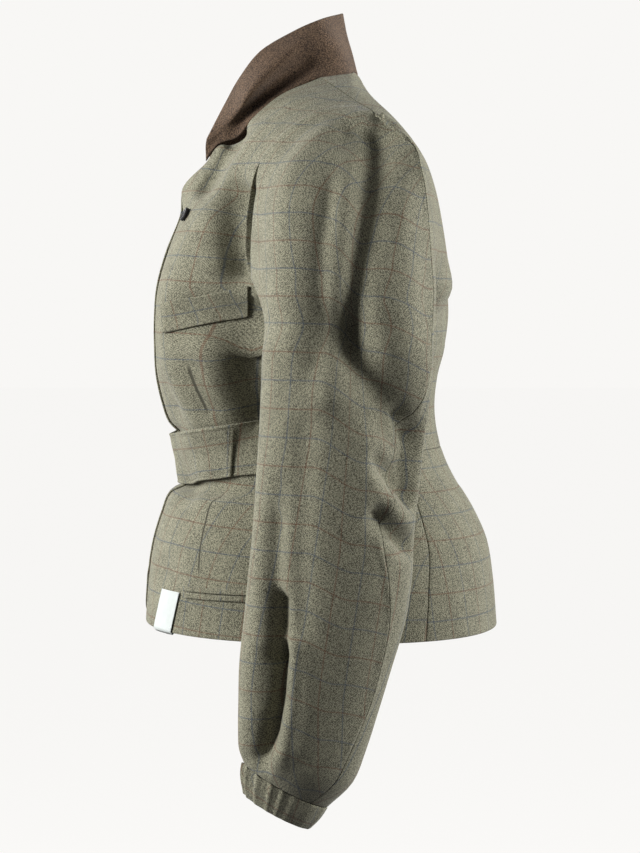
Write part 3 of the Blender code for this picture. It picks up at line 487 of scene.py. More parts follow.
def front_cloth(top, trunk, sleeve):
    """Places on the flat cloth for the front's three grids."""
    first_arm = CHEST_CELLS + FLANK_CELLS + ARCH_CELLS
    chest, crest = CHEST_CELLS, first_arm + FRONT_ARM_CELLS[0]
    chest_drop = drop_along(np.concatenate([top[:, chest], trunk[1:, chest]]), CHEST_BLUE_Z)
    crest_drop = drop_along(np.concatenate([top[:, crest], sleeve[1:, crest - first_arm]]), CREST_BLUE_Z)
    share = np.clip((np.arange(top.shape[1]) - chest) / (crest - chest), 0, 1)

    def down(points, columns, angles):
        z = points[..., 2]
        grain = sum(size * smooth_step(angles, low, high) for low, high, size in GRAIN_DROP)
        level = chest_drop(z) * (1 - share[columns]) + crest_drop(z) * share[columns]
        return level - grain * table(GRAIN_SHARE, z)

    def tucked(points, angles):
        return table(TUCKED, points[..., 2]) * smooth_step(angles, *TUCK_ANGLES)

    flat = np.full((len(top), first_arm), -180.0)
    top_angles = np.hstack([flat, np.tile(row_angles(ARM[0].crest, ARM[0].seam), (len(top), 1))])
    way = lengths(np.swapaxes(top, 0, 1)).T
    at_crest = table(CREST_ACROSS, top[:, crest, 2])[:, None]
    part = (way - way[:, chest:chest + 1]) / (way[:, crest:crest + 1] - way[:, chest:chest + 1])
    across = CHEST_ACROSS + (at_crest - CHEST_ACROSS) * part
    across[:, :chest] = (CHEST_ACROSS + way - way[:, chest:chest + 1])[:, :chest]
    across[:, crest:] = (at_crest + way - way[:, crest:crest + 1])[:, crest:]
    across += tucked(top, top_angles)
    squeeze = (at_crest[-1, 0] - CHEST_ACROSS) / (way[-1, crest] - way[-1, chest])
    out = [np.stack([across, down(top, slice(None), top_angles)], axis=-1)]

    angles = sleeve_angles(len(sleeve))
    for points, columns, middle, turned in (
            (trunk, slice(0, trunk.shape[1]), chest, np.full(trunk.shape[:2], -180.0)),
            (sleeve, slice(first_arm, None), crest - first_arm, angles)):
        way = lengths(np.swapaxes(points, 0, 1)).T
        way -= way[:, middle:middle + 1]
        eased = squeeze + (1 - squeeze) * smooth_step(-points[..., 2], 235, 235 + FLANK_EASE)
        if points is trunk:
            across = CHEST_ACROSS + np.where(way > 0, way * eased, way)
        else:
            across = table(CREST_ACROSS, points[:, middle:middle + 1, 2])
            across = across + np.where(way < 0, way * eased, way) + tucked(points, turned)
        out.append(np.stack([across, down(points, columns, turned)], axis=-1))
    return out


def back_cloth(top, trunk, sleeve):
    """Places on the flat cloth for the back's three grids."""
    drop = drop_along(np.concatenate([top[:, 0], trunk[1:, 0]])[4 * FINE:], BACK_BLUE_Z)
    first_arm = CHEST_CELLS + FLANK_CELLS + ARCH_CELLS
    way = BACK_ACROSS + lengths(np.swapaxes(top, 0, 1)).T
    out = [np.stack([way, drop(top[..., 2])], axis=-1)]
    for points, start in ((trunk, BACK_ACROSS), (sleeve, way[-1, first_arm])):
        across = start + lengths(np.swapaxes(points, 0, 1)).T
        z = points[..., 2]
        eased = drop(z) * (BACK_ARM_EASE if points is sleeve else 1.0)
        low = smooth_step(-z, 235, 300)
        out.append(np.stack([across, drop(z) * (1 - low) + eased * low], axis=-1))
    return out


def plain_cloth(grid, across=0.0, down=0.0, middle=0):
    """Places on the flat cloth of a simple piece, from its own lengths both ways."""
    way = lengths(np.swapaxes(grid, 0, 1)).T
    way = way - way[:, middle:middle + 1]
    return np.stack([way + across, lengths(grid) + down], axis=-1)


class Sheet:
    """One cut piece of cloth: its outer face as points and quads, with their places on the flat cloth."""

    def __init__(self, grids, cloths, flip=False):
        self.verts, self.quads, self.cloth, self.places = [], [], [], {}
        for grid, cloth in zip(grids, cloths):
            ids = [[self.place(point) for point in row] for row in grid]
            for r in range(len(ids) - 1):
                for c in range(len(ids[0]) - 1):
                    ways = ((r, c), (r + 1, c), (r + 1, c + 1), (r, c + 1))
                    if len({ids[i][j] for i, j in ways}) < 4:
                        ways = self.without_twins(ids, ways)
                    ways = ways[::-1] if flip else ways
                    if len(ways) > 2:
                        self.quads.append(tuple(ids[i][j] for i, j in ways))
                        self.cloth.append([cloth[i][j] for i, j in ways])
        self.verts = np.array(self.verts)
        self.normals = None
        self.corners = None    # its triangles' corners, once surface_hit has asked for them

    @staticmethod
    def without_twins(ids, ways):
        """A quad's corners, each point once."""
        seen, kept = set(), []
        for i, j in ways:
            if ids[i][j] not in seen:
                seen.add(ids[i][j])
                kept.append((i, j))
        return tuple(kept)

    def place(self, point):
        key = tuple(np.round(point, 3))
        if key not in self.places:
            self.places[key] = len(self.verts)
            self.verts.append(np.array(point, float))
        return self.places[key]

    def face_sums(self):
        """For each point, the sum of its faces' normals, weighted by their areas."""
        quads = np.array([quad if len(quad) == 4 else quad + quad[-1:] for quad in self.quads])
        a, b, c, d = (self.verts[quads[:, i]] for i in range(4))
        faces = np.cross(c - a, d - b)
        total = np.zeros_like(self.verts)
        for i in range(4):
            np.add.at(total, quads[:, i], faces)
        return total

    def mirrored(self):
        """The same piece on the wearer's right."""
        twin = Sheet([], [])
        twin.verts = self.verts * (-1, 1, 1)
        twin.quads = [quad[::-1] for quad in self.quads]
        twin.cloth = [cloth[::-1] for cloth in self.cloth]
        if self.normals is not None:
            twin.normals = self.normals * (-1, 1, 1)
        return twin

    def rim(self):
        """Directed edges that only one quad has, each with the places of its ends on the flat cloth."""
        edges = {}
        for quad, cloth in zip(self.quads, self.cloth):
            for k, a in enumerate(quad):
                n = (k + 1) % len(quad)
                edges[(a, quad[n])] = (cloth[k], cloth[n])
        return {edge: ends for edge, ends in edges.items() if edge[::-1] not in edges}

    def inward(self, rim):
        """For each rim point, the way along the cloth to its inside, long enough for a mitre."""
        ways = {}
        for a, b in rim:
            way = np.cross(self.normals[a] + self.normals[b], self.verts[b] - self.verts[a])
            way /= np.linalg.norm(way) + 1e-12
            for i in (a, b):
                ways.setdefault(i, []).append(way)
        out = {}
        for i, (first, *rest) in ways.items():
            total = first + sum(rest, np.zeros(3))
            size = np.linalg.norm(total)
            out[i] = total / size * min(2.0, 2.0 / max(size, 1e-6))
        return out

    def press(self, folds, side, fade=WRIST_FADE, turn=FACING):
        """Press creases into the face turned aside.

        Side 1 is the sleeve and -1 the body, each pressed along its normals; 0 is both, straight inwards.
        """
        facing = smooth_step(self.normals[:, 0], *turn)
        if side:
            facing *= smooth_step(side * (self.verts[:, 0] - SLEEVE_FROM_X), -CREASE_EDGE, CREASE_EDGE)
        facing *= smooth_step(above_wrist(self.verts), *fade)
        for fold in folds:
            push = fold.depth * np.exp(-(path_gap(self.verts[:, 1:], fold.path) / fold.width) ** 2) * facing
            self.verts = self.verts - (self.normals if side else np.array((1.0, 0.0, 0.0))) * push[:, None]


def path_gap(flat, path):
    """How far points lie from a path of straight stretches."""
    gap = np.full(len(flat), 1e9)
    path = np.array(path, float)
    for a, b in zip(path, path[1:]):
        along = np.clip(((flat - a) @ (b - a)) / ((b - a) @ (b - a)), 0, 1)
        gap = np.minimum(gap, np.linalg.norm(flat - a - along[:, None] * (b - a), axis=1))
    return gap


def share_normals(sheets):
    """Find the sheets' normals; where pieces are sewn together they get the same one."""
    sums = {}
    keys = [[tuple(np.round(point, 2) + 0.0) for point in sheet.verts] for sheet in sheets]
    for sheet, names in zip(sheets, keys):
        for key, total in zip(names, sheet.face_sums()):
            sums[key] = sums.get(key, 0) + total
    for sheet, names in zip(sheets, keys):
        total = np.array([sums[key] for key in names])
        sheet.normals = total / (np.linalg.norm(total, axis=1, keepdims=True) + 1e-12)


def cloth_mesh(name, points, faces, corners):
    """A smooth mesh with its places on the flat cloth as its UV map."""
    mesh = bpy.data.meshes.new(name)
    mesh.from_pydata([tuple(p * MM) for p in points], [], faces)
    layer = mesh.uv_layers.new(name="cloth")
    flat = np.array([place for face in corners for place in face], float) / CLOTH_UNIT
    layer.data.foreach_set("uv", flat.ravel().astype(np.float32))
    mesh.shade_smooth()
    return mesh


def wall(name, sheet, lift=0.0, thick=WALL):
    """The closed wall of a piece of cloth, with its edges rolled."""
    outer = sheet.verts + sheet.normals * lift
    inner = outer - sheet.normals * thick
    rim = sheet.rim()
    count = len(outer)
    points, chain = [outer, inner], {}
    rolled = []
    for i, way in sheet.inward(rim).items():
        rings = [outer[i] + way * back - sheet.normals[i] * thick * down for back, down in RIM_PROFILE]
        first = 2 * count + len(rolled)
        chain[i] = [i, first, first + 1, first + 2, count + i]
        rolled += rings
        outer[i] += way * RIM
        inner[i] += way * RIM
    points.append(np.array(rolled))
    faces = list(sheet.quads) + [tuple(count + i for i in quad[::-1]) for quad in sheet.quads]
    corners = list(sheet.cloth) + [cloth[::-1] for cloth in sheet.cloth]
    for (a, b), (at_a, at_b) in rim.items():
        for k in range(4):
            faces.append((chain[b][k], chain[a][k], chain[a][k + 1], chain[b][k + 1]))
            corners.append((at_b, at_a, at_a, at_b))
    return cloth_mesh(name, np.vstack(points), faces, corners)


def plain_mesh(name, points, faces):
    """A mesh from points in millimetres, without a map."""
    mesh = bpy.data.meshes.new(name)
    mesh.from_pydata([tuple(p * MM) for p in points], [], faces)
    return mesh


def add_piece(name, mesh, finish, slot, *nodes):
    """Put a piece of the jacket in the scene, in the place of its solids."""
    obj = bpy.data.objects.new(name, mesh)
    obj.data.materials.append(finish)
    bpy.context.collection.objects.link(obj)
    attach(obj, "root")
    if nodes:
        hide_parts(*nodes)
    return obj


def add_sheet(node, sheet, finish, lift=0.0, thick=WALL, kind="wool", slot="olive_wool"):
    """Put a sheet's wall in the place of its solid, named after its cloth and its solid."""
    name = f"{kind}_{node}"
    return add_piece(name, wall(name, sheet, lift, thick), finish, slot, node)


class Finish:
    """A procedural material, built node by node. Numbers are set on sockets, outputs are joined to them."""

    def __init__(self, name, roughness, sheen=0.0):
        self.material = bpy.data.materials.new(name)
        self.material.use_nodes = True
        self.tree = self.material.node_tree
        self.shader = self.tree.nodes["Principled BSDF"]
        self.set(self.shader.inputs["Roughness"], roughness)
        self.set(self.shader.inputs["Sheen Weight"], sheen)
        self.set(self.shader.inputs["Sheen Roughness"], 0.5)
        self.set(self.shader.inputs["Specular IOR Level"], 0.3)

    def set(self, socket, value):
        if isinstance(value, bpy.types.NodeSocket):
            self.tree.links.new(value, socket)
        elif value is not None:
            socket.default_value = value

    def math(self, operation, *values):
        node = self.tree.nodes.new("ShaderNodeMath")
        node.operation = operation
        for socket, value in zip(node.inputs, values):
            self.set(socket, value)
        return node.outputs[0]

    def varied(self, value, noise, size):
        """The value, moved by noise up to half of size to either side."""
        return self.math("ADD", value, self.math("MULTIPLY", self.math("SUBTRACT", noise, 0.5), size))

    def mix(self, share, first, second):
        """A colour between first and second."""
        node = self.tree.nodes.new("ShaderNodeMix")
        node.data_type = "RGBA"
        self.set(node.inputs[0], share)
        for socket, value in zip((node.inputs[6], node.inputs[7]), (first, second)):
            self.set(socket, value if isinstance(value, bpy.types.NodeSocket) else (*value, 1.0))
        return node.outputs[2]

    def smooth(self, value, low, high, start=0.0, end=1.0):
        """Smoothly from start to end as value goes from low to high."""
        node = self.tree.nodes.new("ShaderNodeMapRange")
        node.interpolation_type = "SMOOTHSTEP"
        for socket, number in zip(node.inputs, (value, low, high, start, end)):
            self.set(socket, number)
        return node.outputs[0]

    def flat_places(self):
        """How far across and down the flat cloth a point lies, in millimetres."""
        node = self.tree.nodes.new("ShaderNodeUVMap")
        node.uv_map = "cloth"
        split = self.tree.nodes.new("ShaderNodeSeparateXYZ")
        self.set(split.inputs[0], node.outputs[0])
        return [self.math("MULTIPLY", split.outputs[i], CLOTH_UNIT) for i in (0, 1)]

    def noise(self, scale, detail, across=None, down=None, stretch=1.0):
        """Noise on the flat cloth, or in space in metres, between 0 and 1."""
        node = self.tree.nodes.new("ShaderNodeTexNoise")
        self.set(node.inputs["Scale"], scale)
        self.set(node.inputs["Detail"], detail)
        if across is None:
            place = self.tree.nodes.new("ShaderNodeTexCoord").outputs["Object"]
        else:
            join = self.tree.nodes.new("ShaderNodeCombineXYZ")
            self.set(join.inputs[0], across)
            self.set(join.inputs[1], self.math("MULTIPLY", down, stretch))
            place = join.outputs[0]
        self.set(node.inputs["Vector"], place)
        return node.outputs["Fac"]

    def seam(self, across, down, start, end):
        """The sunk line of a seam between two places on the flat cloth: 1 on it, 0 beside it. It sinks the
        bump and carries the painted shade along the seam.
        """
        run = np.array(end) - start
        size = float(np.hypot(*run))
        way = run / size
        off = (self.math("SUBTRACT", across, start[0]), self.math("SUBTRACT", down, start[1]))
        parts = [[self.math("MULTIPLY", part, share) for part in off] for share in way]
        along = self.math("ADD", parts[0][0], parts[1][1])
        aside = self.math("SUBTRACT", parts[1][0], parts[0][1])
        near = self.smooth(self.math("ABSOLUTE", aside), SEAM_HALF, SEAM_EDGE, SEAM_SHARE, 0.0)
        begins = self.smooth(along, -SEAM_START / 2, SEAM_START)
        ends = self.smooth(along, size - SEAM_TAPER, size, 1.0, 0.0)
        return self.math("MULTIPLY", near, self.math("MULTIPLY", begins, ends))

    def bump(self, height, depth, strength):
        node = self.tree.nodes.new("ShaderNodeBump")
        self.set(node.inputs["Height"], height)
        self.set(node.inputs["Distance"], depth)
        self.set(node.inputs["Strength"], strength)
        self.set(self.shader.inputs["Normal"], node.outputs[0])

    def colour(self, value):
        self.set(self.shader.inputs["Base Color"], value)


HERRINGBONE_WIDTH = 15.0                 # two columns of the twill, millimetres
TWILL_PITCH = 2.3
LINE_HALF, LINE_EDGE = 0.42, 0.95        # the check's lines fade out between these distances
LINE_SHARE = 0.66                        # how far a line covers the ground at its middle
PICK_PITCH = 2.1                         # a crossing line shows as dashes this far apart
DASH_DIP = 0.28                          # how far a line fades between two dashes, each way
TWILL_SHARE, FLECK_SHARE, CLOUD_SHARE = 0.16, 3.7, 0.35   # how strongly each shades the ground
FLECK_SCALE, CLOUD_SCALE = 1050.0, 0.035   # in space, per metre; on the flat cloth, per millimetre
YARN_RANGE = (-0.1, 1.1)                 # shading from the dark yarn to the light one
SEAM_HALF, SEAM_EDGE = 0.35, 1.25        # a dart's seam line fades out between these distances
SEAM_SHARE, SEAM_DEPTH = 0.9, 3.0        # how dark the painted shade along the seam line is, and how far its bump sinks
SEAM_START, SEAM_TAPER = 6.0, 14.0       # it is full from the first on, and fades out over the second
LIGHT_YARN, DARK_YARN = (0.265, 0.256, 0.180), (0.040, 0.038, 0.025)
# Painted shade: the colour that darkens a dart's sunk seam line, where shade falls in the crease.
SEAM_PAINTED_SHADE = (0.034, 0.032, 0.021)
BLUE_YARN, RUST_YARN = (0.031, 0.049, 0.076), (0.094, 0.036, 0.018)


def olive_wool(name, darts=()):
    """Mottled grey-green herringbone with a windowpane check of blue and rust lines, and darts sewn in it,
    their sunk seam lines darkened with painted shade.
    """
    finish = Finish(name, 0.95, sheen=0.05)
    across, down = finish.flat_places()
    column = finish.math("FRACT", finish.math("DIVIDE", across, HERRINGBONE_WIDTH))
    slant = finish.math("ABSOLUTE", finish.math("SUBTRACT", column, 0.5))
    slant = finish.math("MULTIPLY", slant, HERRINGBONE_WIDTH)
    turn = finish.math("MULTIPLY", finish.math("ADD", down, slant), 2 * math.pi / TWILL_PITCH)
    twill = finish.math("SINE", turn)
    fleck = finish.noise(FLECK_SCALE, 2.0)
    cloud = finish.noise(CLOUD_SCALE, 2.0, across, down)
    weave = finish.math("MULTIPLY_ADD", twill, TWILL_SHARE, 0.5)
    weave = finish.varied(weave, fleck, FLECK_SHARE)
    weave = finish.varied(weave, cloud, CLOUD_SHARE)
    cloth = finish.mix(finish.smooth(weave, *YARN_RANGE), DARK_YARN, LIGHT_YARN)
    for way, other, gap in ((across, down, CHECK_ACROSS), (down, across, CHECK_DOWN)):
        shifted = finish.math("ADD", finish.math("DIVIDE", way, gap), 0.5)
        off = finish.math("ABSOLUTE", finish.math("SUBTRACT", finish.math("FRACT", shifted), 0.5))
        line = finish.smooth(finish.math("MULTIPLY", off, gap), LINE_HALF, LINE_EDGE, LINE_SHARE, 0.0)
        dash = finish.math("SINE", finish.math("MULTIPLY", other, 2 * math.pi / PICK_PITCH))
        line = finish.math("MULTIPLY", line, finish.math("MULTIPLY_ADD", dash, DASH_DIP, 1 - DASH_DIP))
        rust = finish.math("FLOORED_MODULO", finish.math("FLOOR", shifted), 2.0)
        cloth = finish.mix(line, cloth, finish.mix(rust, BLUE_YARN, RUST_YARN))
    height = finish.math("MULTIPLY_ADD", twill, 0.15, fleck)
    for start, end in darts:
        seam = finish.seam(across, down, start, end)
        # painted shade darkens the seam's sunk line, which the bump also sinks
        cloth = finish.mix(seam, cloth, SEAM_PAINTED_SHADE)
        height = finish.math("SUBTRACT", height, finish.math("MULTIPLY", seam, SEAM_DEPTH))
    finish.colour(cloth)
    finish.bump(height, 0.0003, 0.6)
    return finish.material


def brown_wool():
    """Felted brown melton with a lighter fuzz."""
    finish = Finish("brown_wool", 0.95, sheen=0.05)
    across, down = finish.flat_places()
    felt = finish.noise(900.0, 3.0)
    hairs = finish.noise(0.5, 3.0, across, down, 3.0)
    cloud = finish.noise(0.05, 2.0, across, down)
    light = finish.math("MULTIPLY_ADD", finish.math("SUBTRACT", felt, 0.5), 4.0, 0.45)
    light = finish.varied(finish.varied(light, hairs, 1.2), cloud, 0.5)
    finish.colour(finish.mix(finish.smooth(light, *YARN_RANGE), (0.021, 0.012, 0.007), (0.142, 0.090, 0.054)))
    finish.bump(finish.math("ADD", felt, finish.math("MULTIPLY", hairs, 0.6)), 0.0006, 0.8)
    return finish.material


def white_tape():
    """Bare ribbed tape."""
    finish = Finish("white_tape", 0.6, sheen=0.05)
    across, down = finish.flat_places()
    rib = finish.math("SINE", finish.math("MULTIPLY", down, 2 * math.pi / 0.9))
    soil = finish.noise(0.15, 3.0, across, down)
    finish.colour(finish.mix(soil, (0.44, 0.47, 0.455), (0.50, 0.53, 0.515)))
    finish.bump(rib, 0.00012, 0.6)
    return finish.material


def dark_horn():
    """Polished horn, nearly black, with faint brown streaks."""
    finish = Finish("dark_horn", 0.6)
    streak = finish.noise(420.0, 3.0)
    finish.colour(finish.mix(finish.smooth(streak, 0.45, 0.7), (0.003, 0.003, 0.004), (0.012, 0.008, 0.006)))
    finish.bump(streak, 0.00005, 0.4)
    return finish.material


def sewing_thread():
    """The olive thread of the stitching, a little lighter than the cloth."""
    finish = Finish("sewing_thread", 0.7)
    twist = finish.noise(900.0, 2.0)
    finish.colour(finish.mix(twist, (0.126, 0.119, 0.083), (0.270, 0.256, 0.185)))
    return finish.material


def black_thread():
    """The button's thread."""
    finish = Finish("black_thread", 0.6)
    finish.colour(finish.mix(finish.noise(900.0, 2.0), (0.004, 0.004, 0.005), (0.02, 0.02, 0.02)))
    return finish.material


LAP_LIFT = WALL - 0.2                    # the outer front lies close on the inner one
LAP_AHEAD = (90, 110)                    # it lifts from one to the other, forwards of the middle


def over_front(sheet):
    """Lift the outer front, on the wearer's right, over the inner one near the middle."""
    near = smooth_step(sheet.verts[:, 0], -OVERLAP - OVERLAP_RAMP, -OVERLAP - 1)
    ahead = smooth_step(-sheet.verts[:, 1], *LAP_AHEAD)
    sheet.verts = sheet.verts + sheet.normals * (near * ahead * LAP_LIFT)[:, None]
    return sheet


def collar_sheet(front_top, back_top):
    """The collar from the gorge on the left, round the back of the neck, to the gorge on the right."""
    front_cells, back_cells = YOKE_CELLS[:GORGE_ROW][::-1], YOKE_CELLS[:NECK_ROW]
    seam = np.concatenate([front_top[:sum(front_cells) + 1, 0][::-1], back_top[1:sum(back_cells) + 1, 0]])
    marks = np.concatenate([[0], np.cumsum(front_cells + back_cells)])
    stations = [[seam[mark], *stand] for mark, stand in zip(marks, COLLAR)]
    along = spline(stations, front_cells + back_cells)
    left = spline(np.swapaxes(along, 0, 1), (FINE, 2 * FINE, 2 * FINE))
    left[0] = seam
    right = left[:, ::-1][:, 1:] * (-1, 1, 1)
    grid = np.concatenate([left, right], axis=1)[::-1]
    return Sheet([grid], [plain_cloth(grid)])


def peplum_sheet():
    """The back below the waist seam, from one side seam to the other, in one piece."""
    half = spline([back_body_row(section) for section in BODY[WAIST_ROW:]], BODY_CELLS[WAIST_ROW:])
    other = half[:, ::-1] * (-1, 1, 1)
    grid = np.concatenate([other[:, :-1], half], axis=1)
    middle = grid.shape[1] // 2
    cloth = plain_cloth(grid, middle=middle)
    cloth[..., 1] = drop_along(grid[:, middle], PEPLUM_BLUE_Z)(grid[..., 2])
    cloth[..., 0] += BACK_ACROSS
    return Sheet([grid], [cloth], flip=True)


CUFF_RINGS = (0.0, 0.1, 0.25, 0.4, 0.55, 0.7, 0.85, 0.95, 1.0)
CUFF_GATHER = 2.9                        # the depth of the gathers at the front of the wrist
CUFF_SWELL = 1.2                         # the band swells a little between its two edges
CUFF_QUIET = 0.12                        # the share of that depth that is left at the back of the wrist
CUFF_AHEAD = 2.5                         # the higher, the narrower the deep gathers' stretch
CUFF_FINE_STEPS = 340


def cuff_sheet():
    """The elastic band: a tube whose cloth is gathered most at the front of the wrist."""
    top = ARM[-1]._replace(height=ARM[-1].height - CUFF_DROP)
    rings = []
    for share in CUFF_RINGS:
        size = 1 - (1 - CUFF_NARROWING) * share
        lean = np.array(CUFF_LEAN) * share
        section = top._replace(x=top.x + lean[0], y=top.y + lean[1], height=top.height + lean[2],
                               deep=top.deep * size, wide=top.wide * size)
        middle = np.array((section.x, section.y, section.height))
        ring = []
        for k in range(CUFF_FINE_STEPS):
            turn = 2 * math.pi * k / CUFF_FINE_STEPS
            ahead = (0.5 - 0.5 * math.sin(turn + 0.2)) ** CUFF_AHEAD
            uneven = turn * GATHERS + 1.3 * math.sin(3 * turn + 0.7) + 0.8 * math.sin(5 * turn)
            wave = math.cos(uneven) + 0.25 * math.cos(2 * uneven + 1)
            wave *= CUFF_GATHER * (CUFF_QUIET + (1 - CUFF_QUIET) * ahead)
            wave *= 0.55 + 0.45 * math.sin(math.pi * min(1.0, 0.15 + share))
            swell = CUFF_SWELL * math.sin(math.pi * share)
            point = arm_point(section, math.degrees(turn))
            out = (point - middle) / np.linalg.norm(point - middle)
            ring.append(point + out * (wave + swell))
        rings.append(ring + ring[:1])
    grid = np.array(rings)
    return Sheet([grid], [plain_cloth(grid, across=8.0, down=6.0)])


def surface_hit(panel, start, way):
    """Where a line from inside the garment first meets a panel, and the panel's slope there."""
    if panel.corners is None:
        tris = [(q[0], q[k], q[k + 1]) for q in panel.quads for k in range(1, len(q) - 1)]
        panel.corners = panel.verts[np.array(tris)]
    corners = panel.corners
    a, ab, ac = corners[:, 0], corners[:, 1] - corners[:, 0], corners[:, 2] - corners[:, 0]
    across = np.cross(np.broadcast_to(way, ac.shape), ac)
    size = np.einsum("ij,ij->i", ab, across)
    size[np.abs(size) < 1e-9] = np.inf
    off = np.array(start) - a
    u = np.einsum("ij,ij->i", off, across) / size
    turned = np.cross(off, ab)
    v = turned @ np.array(way) / size
    far = np.einsum("ij,ij->i", ac, turned) / size
    inside = (u >= -1e-6) & (v >= -1e-6) & (u + v <= 1 + 1e-6) & (far > 0)
    first = int(np.argmin(np.where(inside, far, np.inf)))
    normal = np.cross(ab[first], ac[first])
    return np.array(start) + np.array(way) * far[first], normal / np.linalg.norm(normal)


def cloth_place(panel, spot):
    """The place on the flat cloth of a spot (y, z) on a panel's side."""
    hit = surface_hit(panel, (0, *spot), (1, 0, 0))[0]
    middles = np.array([panel.verts[list(quad)].mean(axis=0) for quad in panel.quads])
    nearest = int(np.argmin(np.linalg.norm(middles - hit, axis=1)))
    corners = panel.verts[list(panel.quads[nearest])][:, 1:]
    flat = np.array(panel.cloth[nearest])
    slope = np.linalg.lstsq(corners - corners.mean(axis=0), flat - flat.mean(axis=0), rcond=None)[0]
    return flat.mean(axis=0) + (hit[1:] - corners.mean(axis=0)) @ slope


def patch(panel, lay, places):
    """A four-cornered piece that lies on a panel; places are its first point's on the flat cloth."""
    p0, p1, p2, p3 = (np.array(corner, float) for corner in lay.corners)
    rows = []
    for v in np.linspace(0, 1, lay.down * FINE + 1):
        ends = p0 * (1 - v) + p3 * v, p1 * (1 - v) + p2 * v
        sides = [ends[0] * (1 - u) + ends[1] * u for u in np.linspace(0, 1, lay.across * FINE + 1)]
        rows.append([surface_hit(panel, (0, *side), (1, 0, 0))[0] for side in sides])
    grid = np.array(rows)
    return Sheet([grid], [plain_cloth(grid, *places)])


BELT_ROWS = (0, 0.03, 0.055, 0.08, 0.105, 0.2, 0.35, 0.5, 0.65, 0.8, 0.895, 0.92, 0.945, 0.97, 1)
BELT_STITCHES = (0.08, 0.92)             # the rows of topstitching, as shares of the belt's width
BELT_DENT, BELT_DENT_WIDTH = 0.7, 1.5    # what the topstitching presses in
BELT_CLEARANCE = 0.4                     # between the two belts, besides the inner one's own wall
OVER_EDGE_END = (OVERLAP + 2, 48)        # the outer belt comes back down past the front's edge
OVER_BELT_START = -14                    # and begins to climb on to the inner belt here
THREAD_LIFT = 0.12                       # from the cloth's face to the middle of its stitches


def belt_grid(panel, first, last):
    """The belt on a panel between two angles: -90 is the front, 0 the wearer's left."""
    cells = max(2, round(BELT_CELLS * FINE * abs(last - first) / 90))
    rows = [[] for _ in BELT_ROWS]
    for angle in np.linspace(first, last, cells + 1):
        section = BODY[WAIST_ROW]
        climb = BELT_RISE * smooth_step(abs(angle + 90), 0, 80)
        way = body_point(section, angle) - (0, BELT_MIDDLE_Y, section.height)
        way /= np.linalg.norm(way)
        edges = []
        for share in (0, 0.5, 1):
            start = (0, BELT_MIDDLE_Y, BELT_TOP_FRONT + climb - BELT_WIDTH * share)
            edges.append(surface_hit(panel, start, way)[0])
        for row, share in zip(rows, BELT_ROWS):
            k = min(int(share * 2), 1)
            row.append(edges[k] + (edges[k + 1] - edges[k]) * (share * 2 - k))
    return np.array(rows)


def belt_cloth(grid, across, down):
    """The belt's places on the flat cloth, straight along its length."""
    cloth = plain_cloth(grid)
    cloth[..., 0] = cloth[len(grid) // 2, :, 0] + across
    cloth[..., 1] = np.array(BELT_ROWS)[:, None] * BELT_WIDTH + down
    return cloth


def dented(shares, lift):
    """How far the belt's face stands off: lift, less the dent that the topstitching pulls."""
    gap = np.min([np.abs(shares - row) for row in BELT_STITCHES], axis=0) * BELT_WIDTH
    return lift - BELT_DENT * np.exp(-(gap / BELT_DENT_WIDTH) ** 2)


STITCH_SIDES = 6
# A stitch is a small closed barrel: rings at these shares of its length, with these shares of its thickness.
STITCH_RINGS = ((0.0, 0.25), (0.25, 1.0), (0.75, 1.0), (1.0, 0.25))


def sample(way, values, at):
    """The values' point at a length along their line."""
    return np.array([np.interp(at, way, values[:, axis]) for axis in range(3)])


def stitch_row(points, normals, long, gap, thick):
    """Short stitches along a line of points, as small closed barrels lying on the cloth."""
    way = lengths(points)
    verts, faces = [], []
    n = STITCH_SIDES
    for start in np.arange(gap, way[-1] - long, long + gap):
        ends = sample(way, points, start), sample(way, points, start + long)
        out = sample(way, normals, start)
        out /= np.linalg.norm(out)
        along = (ends[1] - ends[0]) / np.linalg.norm(ends[1] - ends[0])
        aside = np.cross(out, along)
        first = len(verts)
        for share, size in STITCH_RINGS:
            middle = ends[0] + (ends[1] - ends[0]) * share
            for k in range(n):
                turn = 2 * math.pi * k / n
                verts.append(middle + (aside * math.cos(turn) + out * math.sin(turn)) * thick * size)
        for r in range(len(STITCH_RINGS) - 1):
            a = first + r * n
            for k in range(n):
                faces.append((a + k, a + (k + 1) % n, a + n + (k + 1) % n, a + n + k))
        last = first + (len(STITCH_RINGS) - 1) * n
        faces.append(tuple(range(first, first + n))[::-1])
        faces.append(tuple(range(last, last + n)))
    return verts, faces


def stitches(name, rows, long=2.7, gap=1.0, thick=0.42):
    """One mesh of stitches from several rows of points and their normals."""
    verts, faces = [], []
    for points, normals in rows:
        more, joined = stitch_row(points, normals, long, gap, thick)
        faces += [tuple(len(verts) + i for i in face) for face in joined]
        verts += more
    return plain_mesh(name, verts, faces)


def stitching(name, rows, finish):
    """A piece of topstitching."""
    mesh = stitches(name, rows)
    mesh.shade_smooth()
    return add_piece(name, mesh, finish, "olive_wool")


def belt_piece(name, node, grid, places, lifts, cloth, thread):
    """A belt with its dented rows of topstitching; lifts are how far each point stands off the panel."""
    sheet = Sheet([grid], [belt_cloth(grid, *places)])
    share_normals([sheet])
    shares = np.repeat(BELT_ROWS, grid.shape[1])
    order = [sheet.places[tuple(np.round(point, 3))] for row in grid for point in row]
    stand = np.zeros(len(sheet.verts))
    stand[order] = dented(shares, BELT_GAP + BELT_WALL + lifts.ravel())
    sheet.verts = sheet.verts + sheet.normals * stand[:, None]
    share_normals([sheet])
    piece = add_piece(name, wall(name, sheet, 0.0, BELT_WALL - BELT_DENT), cloth, "olive_wool", node)
    order = np.array(order).reshape(grid.shape[:2])
    lines = [order[BELT_ROWS.index(share)] for share in BELT_STITCHES]
    lines += [order[3:-3, c] for c in (2, grid.shape[1] - 3)]
    rows = [(sheet.verts[ids] + sheet.normals[ids] * THREAD_LIFT, sheet.normals[ids]) for ids in lines]
    stitching(name + "_stitching", rows, thread)
    return piece


